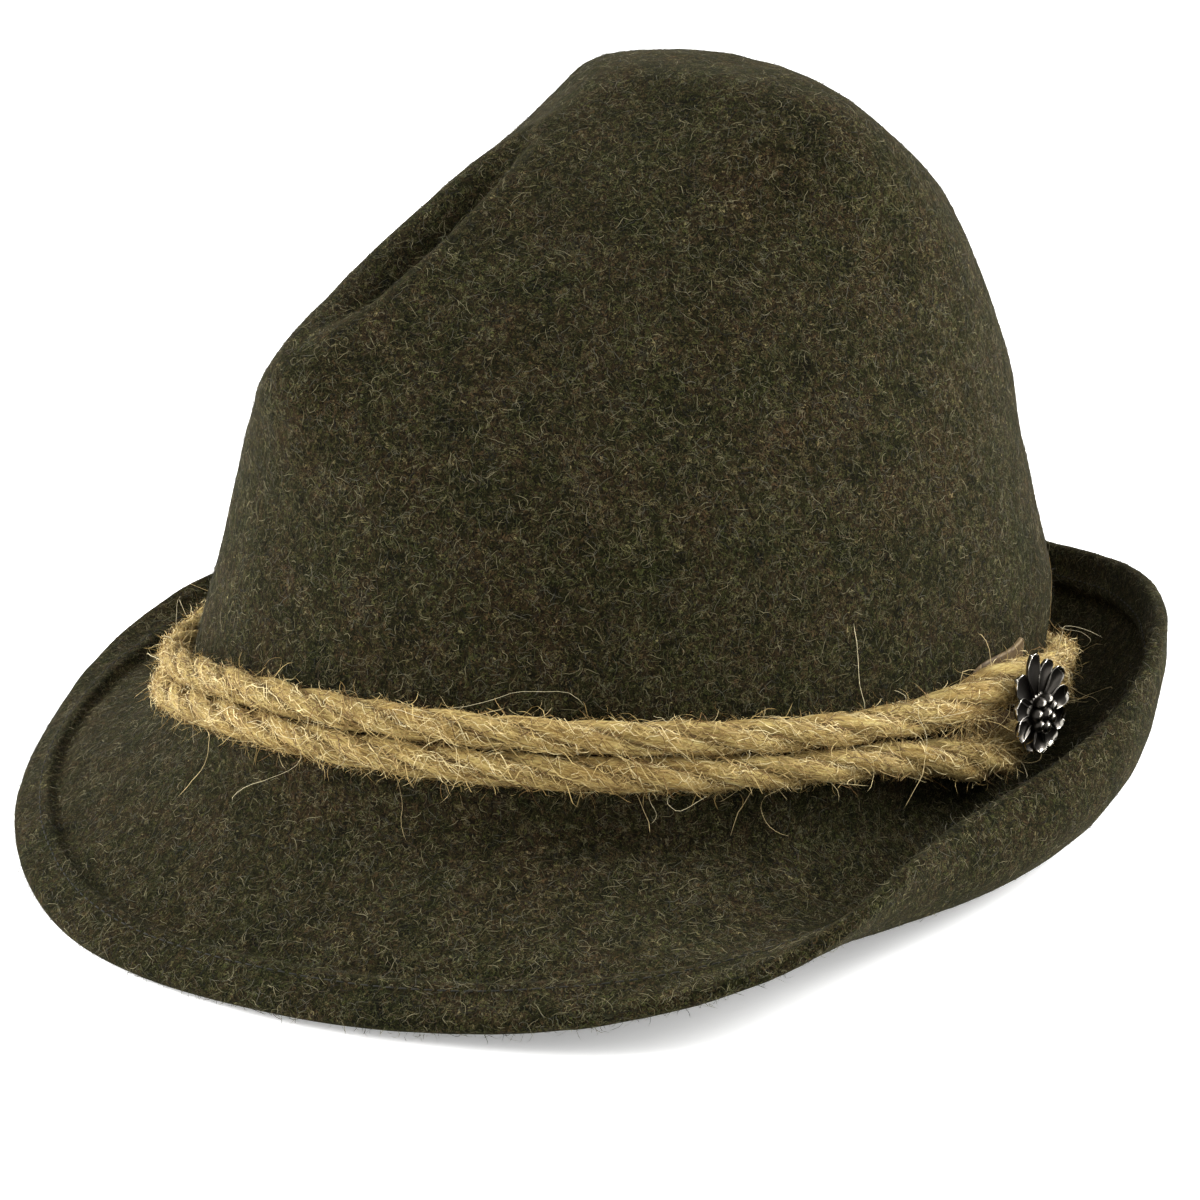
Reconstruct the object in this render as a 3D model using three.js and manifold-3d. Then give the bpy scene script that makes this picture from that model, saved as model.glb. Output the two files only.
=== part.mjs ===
// A Tyrolean hat of blocked wool felt. One hollow felt body makes the crown and the brim, whose edge is folded
// up and stitched down. Two jute ropes lie one over the other round the crown, and on the wearer's left a
// leather leaf is tucked under them, with an edelweiss pin in front.
// Millimetres, +Z up. The front is at -Y and the wearer's left at +X. The hat rests on its brim at z = 0.
import * as THREE from "three";
import { mergeVertices } from "three/addons/utils/BufferGeometryUtils.js";
import Module from "manifold-3d";

const wasm = await Module();
wasm.setup();

// Felt body
const footLength = 205; // front to back at the foot of the crown, in the middle of the felt
const footWidth = 180; // side to side at the foot of the crown
const crownHeight = 148.3; // foot of the crown to its peak
const feltThickness = 2.2;
const brimWidth = 53; // along the felt, from the foot of the crown to the edge
const bendLength = 7; // felt that turns from the crown into the brim
const wallLean = -86; // slope of the crown's wall where the brim starts, in degrees
const foldWidth = 11.5; // edge folded up and stitched down on the brim's upper side
const foldThickness = 1.8;
const foldStep = 1.2;
const pressedDepth = 0.7; // how far the felt gives where it rests
const mostTilt = 25; // degrees either way within which the hat's resting tilt is looked for
const pinchPower = 3; // how closely the narrowing keeps to the front of the crown

// Front crease and side dents
const creaseDepth = 12;
const creaseLip = 1.1; // how much its two ridges are raised and sharpened
const creaseHalfWidth = 10.2;
const creaseEndWidth = 7; // half width where the crease runs out
const sideDentDepth = 8.5;
const sideDentFade = 20; // distance from the middle of the hat over which a side dent comes in

// Ropes
const ropeRadius = 3.5;
const ropeGrooveRadius = 2.7;
const ropeHeight = 12.7; // centre of the lower rope over the foot of the crown
const ropeGap = 0.2; // between the two ropes
const ropeLay = 46; // length of one turn of a strand
const strandCount = 3;
const ropeDip = 1.8; // how far both ropes sink behind the pin
const ropeDipTurn = 125; // degrees round the crown, where they sink the most
const ropeSag = 2.5; // how far both ropes hang at the front
const ropeSagTurn = -20;
const ropeRise = 3; // how far the upper rope is pushed up by the pin's post
const ropeDrop = 3.6; // how far the lower rope is pushed down by it
const dipSpread = 60; // length of rope over which a dip or a sag fades out
const ropeHang = 11.6; // how far both ropes lie lower at the front, on the wearer's right
const ropeHangTurn = -43;
const hangSpread = 38;
const ropeSink = 10.3; // how far both ropes lie lower at the back, on the wearer's left
const ropeSinkTurn = 160;
const sinkSpread = 24;
const postSpread = 14; // length of rope over which the post's push fades out
const ropeSwell = 0.3; // share by which both ropes are thicker beside the pin
const ropeSwellTurn = 105;
const swellSpread = 12;
const leafFade = 10; // length over which the ropes come back to the wall beside the leaf
const seatGap = 0.3; // between a piece and what it lies on

// Leaf
const leafLength = 28.5;
const leafHalfWidth = 17.5;
const leafThickness = 1.0;
const leafTilt = 36; // degrees from upright, tip to the back
const leafFootAhead = 2.2; // foot of the leaf ahead of the pin
const leafFootDrop = 11.8; // foot of the leaf below the pin

// Edelweiss pin
const pinTurn = 109.4; // degrees round the crown from the front, to the wearer's left
const pinLift = 1.3; // how far the pin sits over the middle between the two ropes
const flowerTurn = 8; // degrees that the flower is turned to the front of the hat
const flowerLift = 1.0; // how far that holds it off the ropes
const petalReach = 12; // middle of the flower to the tip of a middling petal
const petalWidth = 5.2;
const petalHeight = 1.9;
const flowerDiscRadius = 4.6;
const flowerDiscThickness = 1.0;
const petalRoot = 1.8; // middle of the flower to where the petals start
const beadRadius = 1.55;
const beadSink = 0.4; // how deep a bead sits in the disc
const beadRingRadius = 3.1;
const beadCount = 7;
const postRadius = 0.8;
const clutchRadius = 4;
const clutchThickness = 1.2;
const clutchGap = 0.6; // between the clutch and the felt inside the crown
const postSeat = 0.2; // how far the post reaches into the flower
const holeMargin = 4; // how much further the post's hole is cut than the felt is thick

// How finely the pieces are faceted
const columnCount = 58;
const crownRings = 25;
const brimRings = 11;
const foldRings = 3;
const columnCrowding = 0.58; // gathers the columns at the front, where the crease is
const brimCrowding = 1.25; // gathers the brim's rings at its bend
const edgeAngles = [45, 0, -45]; // round the brim's edge, in degrees
const walkStep = 0.5; // steps in which the brim's line is followed
const stationsPerLay = 10;
const leafColumns = 8;
const discSides = 16;
const postSides = 8;
const petalSides = 8;
const petalRings = 4;
const beadSides = 8;
const beadRings = 4;
const nudge = 0.01; // small step along the crown for directions
const weld = 1e-4;

// Crown sections from the foot to the peak, evenly spaced along the felt.
// height: share of crownHeight. shift: how far the section's middle lies behind the foot's, as a share of
// half of footLength. length and width: shares of the foot's. pinch: how much narrower the front is.
const crownSections = [
  { height: 0.0, shift: 0.0, length: 1.0, width: 1.0, pinch: 0.0 },
  { height: 0.19, shift: 0.053, length: 1.0, width: 0.95, pinch: 0.01 },
  { height: 0.34, shift: 0.04, length: 0.945, width: 0.91, pinch: 0.03 },
  { height: 0.45, shift: 0.012, length: 0.92, width: 0.87, pinch: 0.21 },
  { height: 0.58, shift: -0.005, length: 0.89, width: 0.82, pinch: 0.64 },
  { height: 0.805, shift: 0.07, length: 0.6, width: 0.745, pinch: 0.83 },
  { height: 0.925, shift: 0.11, length: 0.33, width: 0.58, pinch: 0.71 },
  { height: 0.98, shift: 0.11, length: 0.195, width: 0.365, pinch: 0.41 },
  { height: 1.0, shift: 0.125, length: 0.07, width: 0.1, pinch: 0.09 },
];

// Brim sections every 22.5 degrees from the front to the back, the same on both sides.
// width: share of brimWidth. The rest are slopes in degrees that steer the felt from the crown to the edge.
const brimSections = [
  { width: 0.99, start: -55, inner: -45, outer: -42, edge: -31 },
  { width: 0.96, start: -52, inner: -39, outer: -35, edge: -34 },
  { width: 0.975, start: -40, inner: -27, outer: -19, edge: -37 },
  { width: 1.05, start: -35, inner: -30, outer: 6, edge: 20 },
  { width: 1.06, start: -56, inner: -47, outer: 44, edge: 136 },
  { width: 1.075, start: -48, inner: -17, outer: 73, edge: 123 },
  { width: 1.015, start: -29, inner: 24, outer: 80, edge: 95 },
  { width: 0.995, start: -14, inner: 28, outer: 68, edge: 88 },
  { width: 0.99, start: -16, inner: 12, outer: 51, edge: 96 },
];

// The front crease runs up the sloping front of the crown, from its foot to its head.
// back: share of half of footLength behind the middle. height: share of crownHeight.
const creaseFoot = { back: -0.92, height: 0.62 };
const creaseHead = { back: -0.4, height: 0.965 };
// The side dents are broad and shallow. reach and rise: their spread along and across.
const sideDent = { back: 0.1, height: 0.79, tilt: -7, reach: 0.3, rise: 0.105 };

// Leaf sections from its foot to its tip. along: share of leafLength. spread: share of leafHalfWidth.
const leafSections = [
  { along: 0.0, spread: 0.16 },
  { along: 0.05, spread: 0.62 },
  { along: 0.16, spread: 0.9 },
  { along: 0.32, spread: 1.0 },
  { along: 0.5, spread: 0.93 },
  { along: 0.63, spread: 0.71 },
  { along: 0.74, spread: 0.47 },
  { along: 0.86, spread: 0.22 },
  { along: 0.94, spread: 0.1 },
  { along: 1.0, spread: 0.03 },
];

// Petals round the flower. turn: degrees from straight up, to the back of the hat. reach: share of petalReach.
const petals = [
  { turn: -43, reach: 1.28 },
  { turn: -18, reach: 1.32 },
  { turn: 12, reach: 1.0 },
  { turn: 44, reach: 0.95 },
  { turn: 80, reach: 0.85 },
  { turn: 116, reach: 0.85 },
  { turn: 152, reach: 0.76 },
  { turn: 190, reach: 0.72 },
  { turn: 226, reach: 0.76 },
  { turn: 261, reach: 0.9 },
  { turn: 293, reach: 1.04 },
];

const radians = THREE.MathUtils.degToRad;
const halfLength = footLength / 2;
const halfWidth = footWidth / 2;

// Smooth curve through evenly spaced values. mirrored: the values go on the same way past both ends.
function splineAt(values, share, mirrored = false) {
  const last = values.length - 1;
  const place = THREE.MathUtils.clamp(share, 0, 1) * last;
  const index = Math.min(Math.floor(place), last - 1);
  const past = (step) => {
    const i = index + step;
    if (i < 0) return mirrored ? values[-i] : 2 * values[0] - values[-i];
    if (i > last) return mirrored ? values[2 * last - i] : 2 * values[last] - values[2 * last - i];
    return values[i];
  };
  const t = place - index;
  const [before, from, to, after] = [past(-1), past(0), past(1), past(2)];
  const rise = (to - before) / 2;
  const fall = (after - from) / 2;
  const lift = t * t * (3 - 2 * t);
  return from * (1 - lift) + to * lift + rise * t * (1 - t) * (1 - t) - fall * t * t * (1 - t);
}

const column = (rows, name) => rows.map((row) => row[name]);
const crownTable = Object.fromEntries(Object.keys(crownSections[0]).map((k) => [k, column(crownSections, k)]));
const brimTable = Object.fromEntries(Object.keys(brimSections[0]).map((k) => [k, column(brimSections, k)]));

// A point of the crown's middle surface, before the crease and the dents.
function blockPoint(share, turn) {
  const at = (name) => splineAt(crownTable[name], share);
  const forward = 0.5 + 0.5 * Math.cos(turn);
  const narrowing = 1 - at("pinch") * forward ** pinchPower;
  return new THREE.Vector3(
    halfWidth * at("width") * Math.sin(turn) * narrowing,
    halfLength * (at("shift") - at("length") * Math.cos(turn)),
    crownHeight * at("height"),
  );
}

// Pushes the front crease and the two side dents into a point of the crown.
function pressDents(point) {
  const foot = new THREE.Vector2(creaseFoot.back * halfLength, creaseFoot.height * crownHeight);
  const head = new THREE.Vector2(creaseHead.back * halfLength, creaseHead.height * crownHeight);
  const line = head.clone().sub(foot);
  const along = line.clone().normalize();
  const outward = new THREE.Vector2(-along.y, along.x);
  const share = new THREE.Vector2(point.y, point.z).sub(foot).dot(along) / line.length();
  const pressed = point.clone();
  if (share > 0 && share < 1) {
    const swell = Math.sin(Math.PI * share);
    const spread = THREE.MathUtils.lerp(creaseEndWidth, creaseHalfWidth, swell);
    const across = (point.x / spread) ** 2;
    const depth = creaseDepth * swell * (1 - creaseLip * across) * Math.exp(-2 * across);
    pressed.y -= depth * outward.x;
    pressed.z -= depth * outward.y;
  }
  const tilt = radians(sideDent.tilt);
  const back = point.y - sideDent.back * halfLength;
  const up = point.z - sideDent.height * crownHeight;
  const reach = (back * Math.cos(tilt) + up * Math.sin(tilt)) / (sideDent.reach * halfLength);
  const rise = (up * Math.cos(tilt) - back * Math.sin(tilt)) / (sideDent.rise * crownHeight);
  const inset = sideDentDepth * Math.exp(-0.5 * (reach * reach + rise * rise));
  pressed.x -= inset * THREE.MathUtils.clamp(point.x / sideDentFade, -1, 1);
  return pressed;
}

const crownPoint = (share, turn) => pressDents(blockPoint(share, turn));

// The share of the crown's sections that reaches a height over the foot.
function shareAtHeight(height) {
  let low = 0;
  let high = 1;
  for (let i = 0; i < 30; i += 1) {
    const middle = (low + high) / 2;
    if (splineAt(crownTable.height, middle) * crownHeight < height) low = middle;
    else high = middle;
  }
  return low;
}

// The level direction that points out of the crown at a turn.
function outwardAt(turn) {
  return new THREE.Vector3(Math.sin(turn) / halfWidth, -Math.cos(turn) / halfLength, 0).normalize();
}

// The slope of the brim, in radians, at a share of its width.
function brimSlope(section, share, travelled) {
  const rest = 1 - share;
  const steered =
    rest ** 3 * section.start +
    3 * rest ** 2 * share * section.inner +
    3 * rest * share ** 2 * section.outer +
    share ** 3 * section.edge;
  const bent = THREE.MathUtils.smoothstep(travelled, 0, bendLength);
  return radians(THREE.MathUtils.lerp(wallLean, steered, bent));
}

// The brim's middle line at a turn, walked from the foot of the crown through the given distances.
function brimLine(turn, distances) {
  const side = Math.abs(THREE.MathUtils.euclideanModulo(turn + Math.PI, 2 * Math.PI) - Math.PI);
  const at = (name) => splineAt(brimTable[name], side / Math.PI, true);
  const section = { start: at("start"), inner: at("inner"), outer: at("outer"), edge: at("edge") };
  const width = at("width") * brimWidth;
  const scale = width / brimWidth;
  const foot = crownPoint(0, turn);
  const outward = outwardAt(turn);
  const points = [];
  let travelled = 0;
  let reach = 0;
  let drop = 0;
  for (const distance of distances) {
    const goal = distance * scale;
    while (travelled < goal - 1e-6) {
      const step = Math.min(walkStep, goal - travelled);
      const slope = brimSlope(section, (travelled + step / 2) / width, travelled + step / 2);
      reach += step * Math.cos(slope);
      drop += step * Math.sin(slope);
      travelled += step;
    }
    points.push(foot.clone().addScaledVector(outward, reach).setZ(foot.z + drop));
  }
  return points;
}

// Joins rings of points into one closed body. Each ring has the same number of points, and the first and the
// last shrink to a point. The rings' order and the points' order decide which way the faces look.
function closedBody(rings, firstPoint, lastPoint) {
  const count = rings[0].length;
  const positions = rings.flat().concat([firstPoint, lastPoint]).flatMap((p) => [p.x, p.y, p.z]);
  const first = rings.length * count;
  const index = [];
  for (let c = 0; c < count; c += 1) {
    const next = (c + 1) % count;
    index.push(first, c, next);
    for (let r = 0; r + 1 < rings.length; r += 1) {
      const here = r * count;
      const there = here + count;
      index.push(here + c, there + c, there + next, here + c, there + next, here + next);
    }
    const lastRing = (rings.length - 1) * count;
    index.push(lastRing + c, first + 1, lastRing + next);
  }
  const geometry = new THREE.BufferGeometry();
  geometry.setAttribute("position", new THREE.Float32BufferAttribute(positions, 3));
  geometry.setIndex(index);
  return geometry;
}

// Joins rings of points into one closed loop of tube.
function closedLoop(rings) {
  const count = rings[0].length;
  const positions = rings.flat().flatMap((p) => [p.x, p.y, p.z]);
  const index = [];
  rings.forEach((ring, r) => {
    const here = r * count;
    const there = ((r + 1) % rings.length) * count;
    for (let c = 0; c < count; c += 1) {
      const next = (c + 1) % count;
      index.push(here + c, there + c, there + next, here + c, there + next, here + next);
    }
  });
  const geometry = new THREE.BufferGeometry();
  geometry.setAttribute("position", new THREE.Float32BufferAttribute(positions, 3));
  geometry.setIndex(index);
  return geometry;
}

// The middle surface of the felt as rings, from the peak down the crown and out over the brim.
function middleRings() {
  const turns = Array.from({ length: columnCount }, (_, c) => {
    const even = (2 * Math.PI * c) / columnCount;
    return even - columnCrowding * Math.sin(even);
  });
  const crownShares = Array.from({ length: crownRings }, (_, r) => 1 - r / crownRings);
  const foldStart = brimWidth - foldWidth;
  const roundness = (feltThickness + foldThickness) / 2;
  const plain = Array.from({ length: brimRings }, (_, r) => {
    const share = (r + 1) / brimRings;
    return foldStart * share ** brimCrowding;
  });
  const folded = Array.from({ length: foldRings }, (_, r) => {
    const share = r / (foldRings - 1);
    return THREE.MathUtils.lerp(foldStart + foldStep, brimWidth - roundness, share);
  });
  const distances = [0, ...plain, ...folded];
  const brimColumns = turns.map((turn) => brimLine(turn, distances));
  const crown = crownShares.map((share) => turns.map((turn) => crownPoint(share, turn)));
  const brim = distances.map((_, r) => brimColumns.map((points) => points[r]));
  return { rings: [...crown, ...brim], foldFrom: crownRings + 1 + brimRings };
}

// The outward normal of each point of the middle rings.
function ringNormals(rings) {
  return rings.map((ring, r) =>
    ring.map((point, c) => {
      const count = ring.length;
      const above = rings[Math.max(r - 1, 0)][c];
      const below = rings[Math.min(r + 1, rings.length - 1)][c];
      const along = below.clone().sub(above);
      const round = ring[(c + 1) % count].clone().sub(ring[(c + count - 1) % count]);
      return along.cross(round).normalize();
    }),
  );
}

function feltBody() {
  const { rings, foldFrom } = middleRings();
  const normals = ringNormals(rings);
  const half = feltThickness / 2;
  const offsetRing = (r, distance) => rings[r].map((p, c) => p.clone().addScaledVector(normals[r][c], distance));
  const outside = rings.map((_, r) => offsetRing(r, r < foldFrom ? half : half + foldThickness));
  const last = rings.length - 1;
  const roundness = half + foldThickness / 2;
  const edge = edgeAngles.map((degrees) =>
    rings[last].map((p, c) => {
      const forward = p.clone().sub(rings[last - 1][c]).normalize();
      return p
        .clone()
        .addScaledVector(normals[last][c], foldThickness / 2 + roundness * Math.sin(radians(degrees)))
        .addScaledVector(forward, roundness * Math.cos(radians(degrees)));
    }),
  );
  const inside = rings
    .map((_, r) => r)
    .filter((r) => r % 2 === last % 2)
    .reverse()
    .map((r) => offsetRing(r, -half));
  const peak = rings[0].reduce((sum, p) => sum.add(p), new THREE.Vector3()).divideScalar(columnCount);
  const peakTop = peak.clone().setZ(peak.z + half);
  const peakUnder = peak.clone().setZ(peak.z - half);
  return closedBody([...outside, ...edge, ...inside], peakTop, peakUnder);
}

const pinTurnAngle = radians(pinTurn);
const ropePitch = 2 * ropeRadius + ropeGap;
const leafStack = feltThickness / 2 + seatGap + leafThickness;

// The length of crown between two turns.
function apart(turn, other) {
  const turned = THREE.MathUtils.euclideanModulo(turn - other + Math.PI, 2 * Math.PI) - Math.PI;
  return (Math.abs(turned) * (halfLength + halfWidth)) / 2;
}

const fadeFrom = (turn, other, spread) => Math.exp(-0.5 * (apart(turn, other) / spread) ** 2);

// How far a rope is lifted off the crown where it passes over the leaf.
function leafLift(turn) {
  const flat = leafHalfWidth + leafFootAhead;
  const fade = THREE.MathUtils.smoothstep(apart(turn, pinTurnAngle), flat, flat + leafFade);
  return (leafThickness + seatGap) * (1 - fade);
}

// How far both ropes lie under their usual height at a turn.
const dipAt = (turn) =>
  ropeDip * fadeFrom(turn, radians(ropeDipTurn), dipSpread) +
  ropeSag * fadeFrom(turn, radians(ropeSagTurn), dipSpread) +
  ropeHang * fadeFrom(turn, radians(ropeHangTurn), hangSpread) +
  ropeSink * fadeFrom(turn, radians(ropeSinkTurn), sinkSpread);
const betweenRopes = ropeHeight + ropePitch / 2 + (ropeRise - ropeDrop) / 2;
const pinHeight = betweenRopes + pinLift - dipAt(pinTurnAngle);

// How many times its usual thickness a rope has at a turn.
const swellAt = (turn) => 1 + ropeSwell * fadeFrom(turn, radians(ropeSwellTurn), swellSpread);

// The middle line of a rope at a turn. push: how far the pin's post pushes it up or down.
function ropePoint(turn, { height, push }) {
  const pushed = push * fadeFrom(turn, pinTurnAngle, postSpread);
  const swollen = Math.sign(push) * ropeRadius * (swellAt(turn) - 1);
  const level = height + pushed + swollen - dipAt(turn);
  const wall = crownPoint(shareAtHeight(level), turn);
  const out = feltThickness / 2 + seatGap + ropeRadius * swellAt(turn) + leafLift(turn);
  return wall.addScaledVector(outwardAt(turn), out).setZ(level);
}

function rope(course) {
  const length = Math.PI * (halfLength + halfWidth + 2 * ropeRadius);
  const lays = Math.round((length / ropeLay) * strandCount) / strandCount;
  const stations = Math.round(lays * stationsPerLay);
  const sides = 2 * strandCount;
  const rings = Array.from({ length: stations }, (_, s) => {
    const turn = (2 * Math.PI * s) / stations;
    const centre = ropePoint(turn, course);
    const outward = outwardAt(turn);
    const twist = (-2 * Math.PI * lays * s) / stations;
    return Array.from({ length: sides }, (_, k) => {
      const angle = (2 * Math.PI * k) / sides + twist;
      const radius = (k % 2 ? ropeGrooveRadius : ropeRadius) * swellAt(turn);
      return centre
        .clone()
        .addScaledVector(outward, radius * Math.cos(angle))
        .add(new THREE.Vector3(0, 0, radius * Math.sin(angle)));
    });
  });
  return closedTwisted(rings, lays);
}

// Closes a twisted tube: after a whole number of thirds of a turn, each side meets another one.
function closedTwisted(rings, lays) {
  const sides = rings[0].length;
  const shiftSides = sides - (Math.round(lays * sides) % sides);
  const first = rings[0].map((_, k) => rings[0][(k + shiftSides) % sides]);
  const geometry = closedLoop([...rings, first]);
  const ringCount = rings.length + 1;
  const kept = Array.from(geometry.index.array).slice(0, (ringCount - 1) * sides * 6);
  geometry.setIndex(kept);
  return mergeVertices(geometry, weld);
}

// A point over the crown's wall, ahead of the pin and above it, at a distance from the felt's middle.
function overWall(ahead, above, out) {
  const radius = blockPoint(0, pinTurnAngle).distanceTo(blockPoint(0, pinTurnAngle + nudge)) / nudge;
  const turn = pinTurnAngle - ahead / radius;
  const height = pinHeight + above;
  return crownPoint(shareAtHeight(height), turn).addScaledVector(outwardAt(turn), out);
}

function leaf() {
  const tilt = radians(leafTilt);
  const under = feltThickness / 2 + seatGap;
  const rings = leafSections.map(({ along, spread }) => {
    const upper = [];
    const lower = [];
    for (let a = 0; a <= leafColumns; a += 1) {
      const across = ((2 * a) / leafColumns - 1) * spread * leafHalfWidth;
      const ahead = leafFootAhead - along * leafLength * Math.sin(tilt) + across * Math.cos(tilt);
      const above = -leafFootDrop + along * leafLength * Math.cos(tilt) + across * Math.sin(tilt);
      upper.push(overWall(ahead, above, under + leafThickness));
      lower.unshift(overWall(ahead, above, under));
    }
    return [...upper, ...lower];
  });
  const middle = (ring) => ring.reduce((sum, p) => sum.add(p), new THREE.Vector3()).divideScalar(ring.length);
  return closedBody(rings, middle(rings[0]), middle(rings[rings.length - 1]));
}

// A closed geometry as a manifold-3d solid, and back.
function toSolid(geometry) {
  const bare = geometry.clone();
  bare.deleteAttribute("normal");
  bare.deleteAttribute("uv");
  const merged = mergeVertices(bare, weld);
  const vertProperties = new Float32Array(merged.attributes.position.array);
  const triVerts = new Uint32Array(merged.index.array);
  return new wasm.Manifold(new wasm.Mesh({ numProp: 3, vertProperties, triVerts }));
}

function toGeometry(solid) {
  const mesh = solid.getMesh();
  const positions = new Float32Array(mesh.numVert * 3);
  for (let i = 0; i < mesh.numVert; i += 1) {
    positions.set(mesh.vertProperties.subarray(i * mesh.numProp, i * mesh.numProp + 3), i * 3);
  }
  const geometry = new THREE.BufferGeometry();
  geometry.setAttribute("position", new THREE.BufferAttribute(positions, 3));
  geometry.setIndex(new THREE.BufferAttribute(mesh.triVerts, 1));
  return geometry;
}

// A cylinder along the pin's own axis, +Z, between two levels.
function axialCylinder(radius, from, to, sides) {
  const geometry = new THREE.CylinderGeometry(radius, radius, to - from, sides);
  return geometry.rotateX(Math.PI / 2).translate(0, 0, (from + to) / 2);
}

function petal({ turn, reach }) {
  const length = petalReach * reach;
  const geometry = new THREE.SphereGeometry(1, petalSides, petalRings);
  geometry.scale(petalWidth / 2, (length - petalRoot) / 2, petalHeight / 2);
  geometry.translate(0, (length + petalRoot) / 2, petalHeight / 2);
  return geometry.rotateZ(-radians(turn));
}

function bead(x, y) {
  const height = flowerDiscThickness + beadRadius - beadSink;
  return new THREE.SphereGeometry(beadRadius, beadSides, beadRings).translate(x, y, height);
}

// The pin in its own frame: z = 0 at the back of the flower, +Z away from the crown, +Y up.
const ropeStack = 2 * ropeRadius * (1 + ropeSwell);
const flowerBack = leafStack + seatGap + ropeStack + seatGap; // from the felt's middle to the flower
const clutchFront = -flowerBack - feltThickness / 2 - clutchGap;

function edelweissPin() {
  const places = Array.from({ length: beadCount }, (_, i) => (2 * Math.PI * i) / beadCount);
  const flowerShapes = [
    axialCylinder(flowerDiscRadius, 0, flowerDiscThickness, discSides),
    ...petals.map(petal),
    bead(0, 0),
    ...places.map((angle) => bead(beadRingRadius * Math.cos(angle), beadRingRadius * Math.sin(angle))),
  ];
  const backShapes = [
    axialCylinder(postRadius, clutchFront - clutchThickness / 2, flowerLift + postSeat, postSides),
    axialCylinder(clutchRadius, clutchFront - clutchThickness, clutchFront, discSides),
  ];
  for (const shape of flowerShapes) shape.rotateY(-radians(flowerTurn)).translate(0, 0, flowerLift);
  return toGeometry(wasm.Manifold.union([...flowerShapes, ...backShapes].map(toSolid)));
}

// The hole that the post passes through, in the hat's frame.
function postHole() {
  const reach = flowerBack + feltThickness + holeMargin;
  const hole = axialCylinder(postRadius + seatGap, -reach, 0, postSides);
  return toSolid(hole.applyMatrix4(pinPlace()));
}

// Where the pin's own frame sits on the hat: square to the wall behind it.
function pinPlace() {
  const share = shareAtHeight(pinHeight);
  const wall = crownPoint(share, pinTurnAngle);
  const along = crownPoint(share + nudge, pinTurnAngle).sub(crownPoint(share - nudge, pinTurnAngle));
  const round = crownPoint(share, pinTurnAngle + nudge).sub(crownPoint(share, pinTurnAngle - nudge));
  const outward = round.cross(along).normalize();
  const side = new THREE.Vector3().crossVectors(along, outward).normalize();
  const up = new THREE.Vector3().crossVectors(outward, side);
  const seat = wall.addScaledVector(outward, flowerBack);
  return new THREE.Matrix4().makeBasis(side, up, outward).setPosition(seat);
}

// The tilt at which the brim's lowest front and back points are level, and the shift that brings the middle
// of the hat's underside to the origin.
function restingPlace(geometry) {
  const positions = geometry.getAttribute("position");
  const point = new THREE.Vector3();
  const lowest = (tilt, wanted) => {
    let low = Infinity;
    for (let i = 0; i < positions.count; i += 1) {
      point.fromBufferAttribute(positions, i);
      if (Math.sign(point.y) !== wanted) continue;
      low = Math.min(low, point.y * Math.sin(tilt) + point.z * Math.cos(tilt));
    }
    return low;
  };
  let nose = -radians(mostTilt);
  let heel = radians(mostTilt);
  for (let i = 0; i < 40; i += 1) {
    const tilt = (nose + heel) / 2;
    if (lowest(tilt, -1) > lowest(tilt, 1)) nose = tilt;
    else heel = tilt;
  }
  const turned = new THREE.Matrix4().makeRotationX((nose + heel) / 2);
  const box = new THREE.Box3().setFromBufferAttribute(positions.clone().applyMatrix4(turned));
  const middle = box.getCenter(new THREE.Vector3());
  const shift = new THREE.Matrix4().makeTranslation(-middle.x, -middle.y, -box.min.z - pressedDepth);
  return shift.multiply(turned);
}

// Flattens the felt where it lies on the surface.
function flattenUnderside(geometry) {
  const positions = geometry.getAttribute("position");
  for (let i = 0; i < positions.count; i += 1) positions.setZ(i, Math.max(positions.getZ(i), 0));
  return geometry;
}

function piece(name, geometry, colour, roughness, metalness = 0) {
  geometry.computeVertexNormals();
  const mesh = new THREE.Mesh(geometry, new THREE.MeshStandardMaterial({ color: colour, roughness, metalness }));
  mesh.name = name;
  return mesh;
}

const hole = postHole();
const feltGeometry = toGeometry(toSolid(feltBody()).subtract(hole));
const leafGeometry = toGeometry(toSolid(leaf()).subtract(hole));
const place = restingPlace(feltGeometry);

const feltMesh = piece("felt_body", flattenUnderside(feltGeometry.applyMatrix4(place)), 0x35362a, 0.95);

const trimmings = new THREE.Group();
const lowerCourse = { height: ropeHeight, push: -ropeDrop };
const upperCourse = { height: ropeHeight + ropePitch, push: ropeRise };
trimmings.add(piece("rope_lower", rope(lowerCourse), 0xb08d55, 0.9));
trimmings.add(piece("rope_upper", rope(upperCourse), 0xb6935b, 0.9));
trimmings.add(piece("leather_leaf", leafGeometry, 0x5a4630, 0.55));
const pinMesh = piece("edelweiss_pin", edelweissPin(), 0x6e6c68, 0.35, 1);
pinMesh.applyMatrix4(pinPlace());
trimmings.add(pinMesh);
trimmings.applyMatrix4(place);

const hat = new THREE.Group();
hat.add(feltMesh, trimmings);

export default hat;
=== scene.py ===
# The looks of a Tyrolean hat: melange wool felt, two jute ropes, a leather leaf and a silver edelweiss.
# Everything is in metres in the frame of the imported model: +Z up, front at -Y, the wearer's left at +X.
import math

import bmesh
import bpy
import numpy as np
from mathutils import Matrix, Vector, noise
from mathutils.bvhtree import BVHTree
from mathutils.kdtree import KDTree


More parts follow.
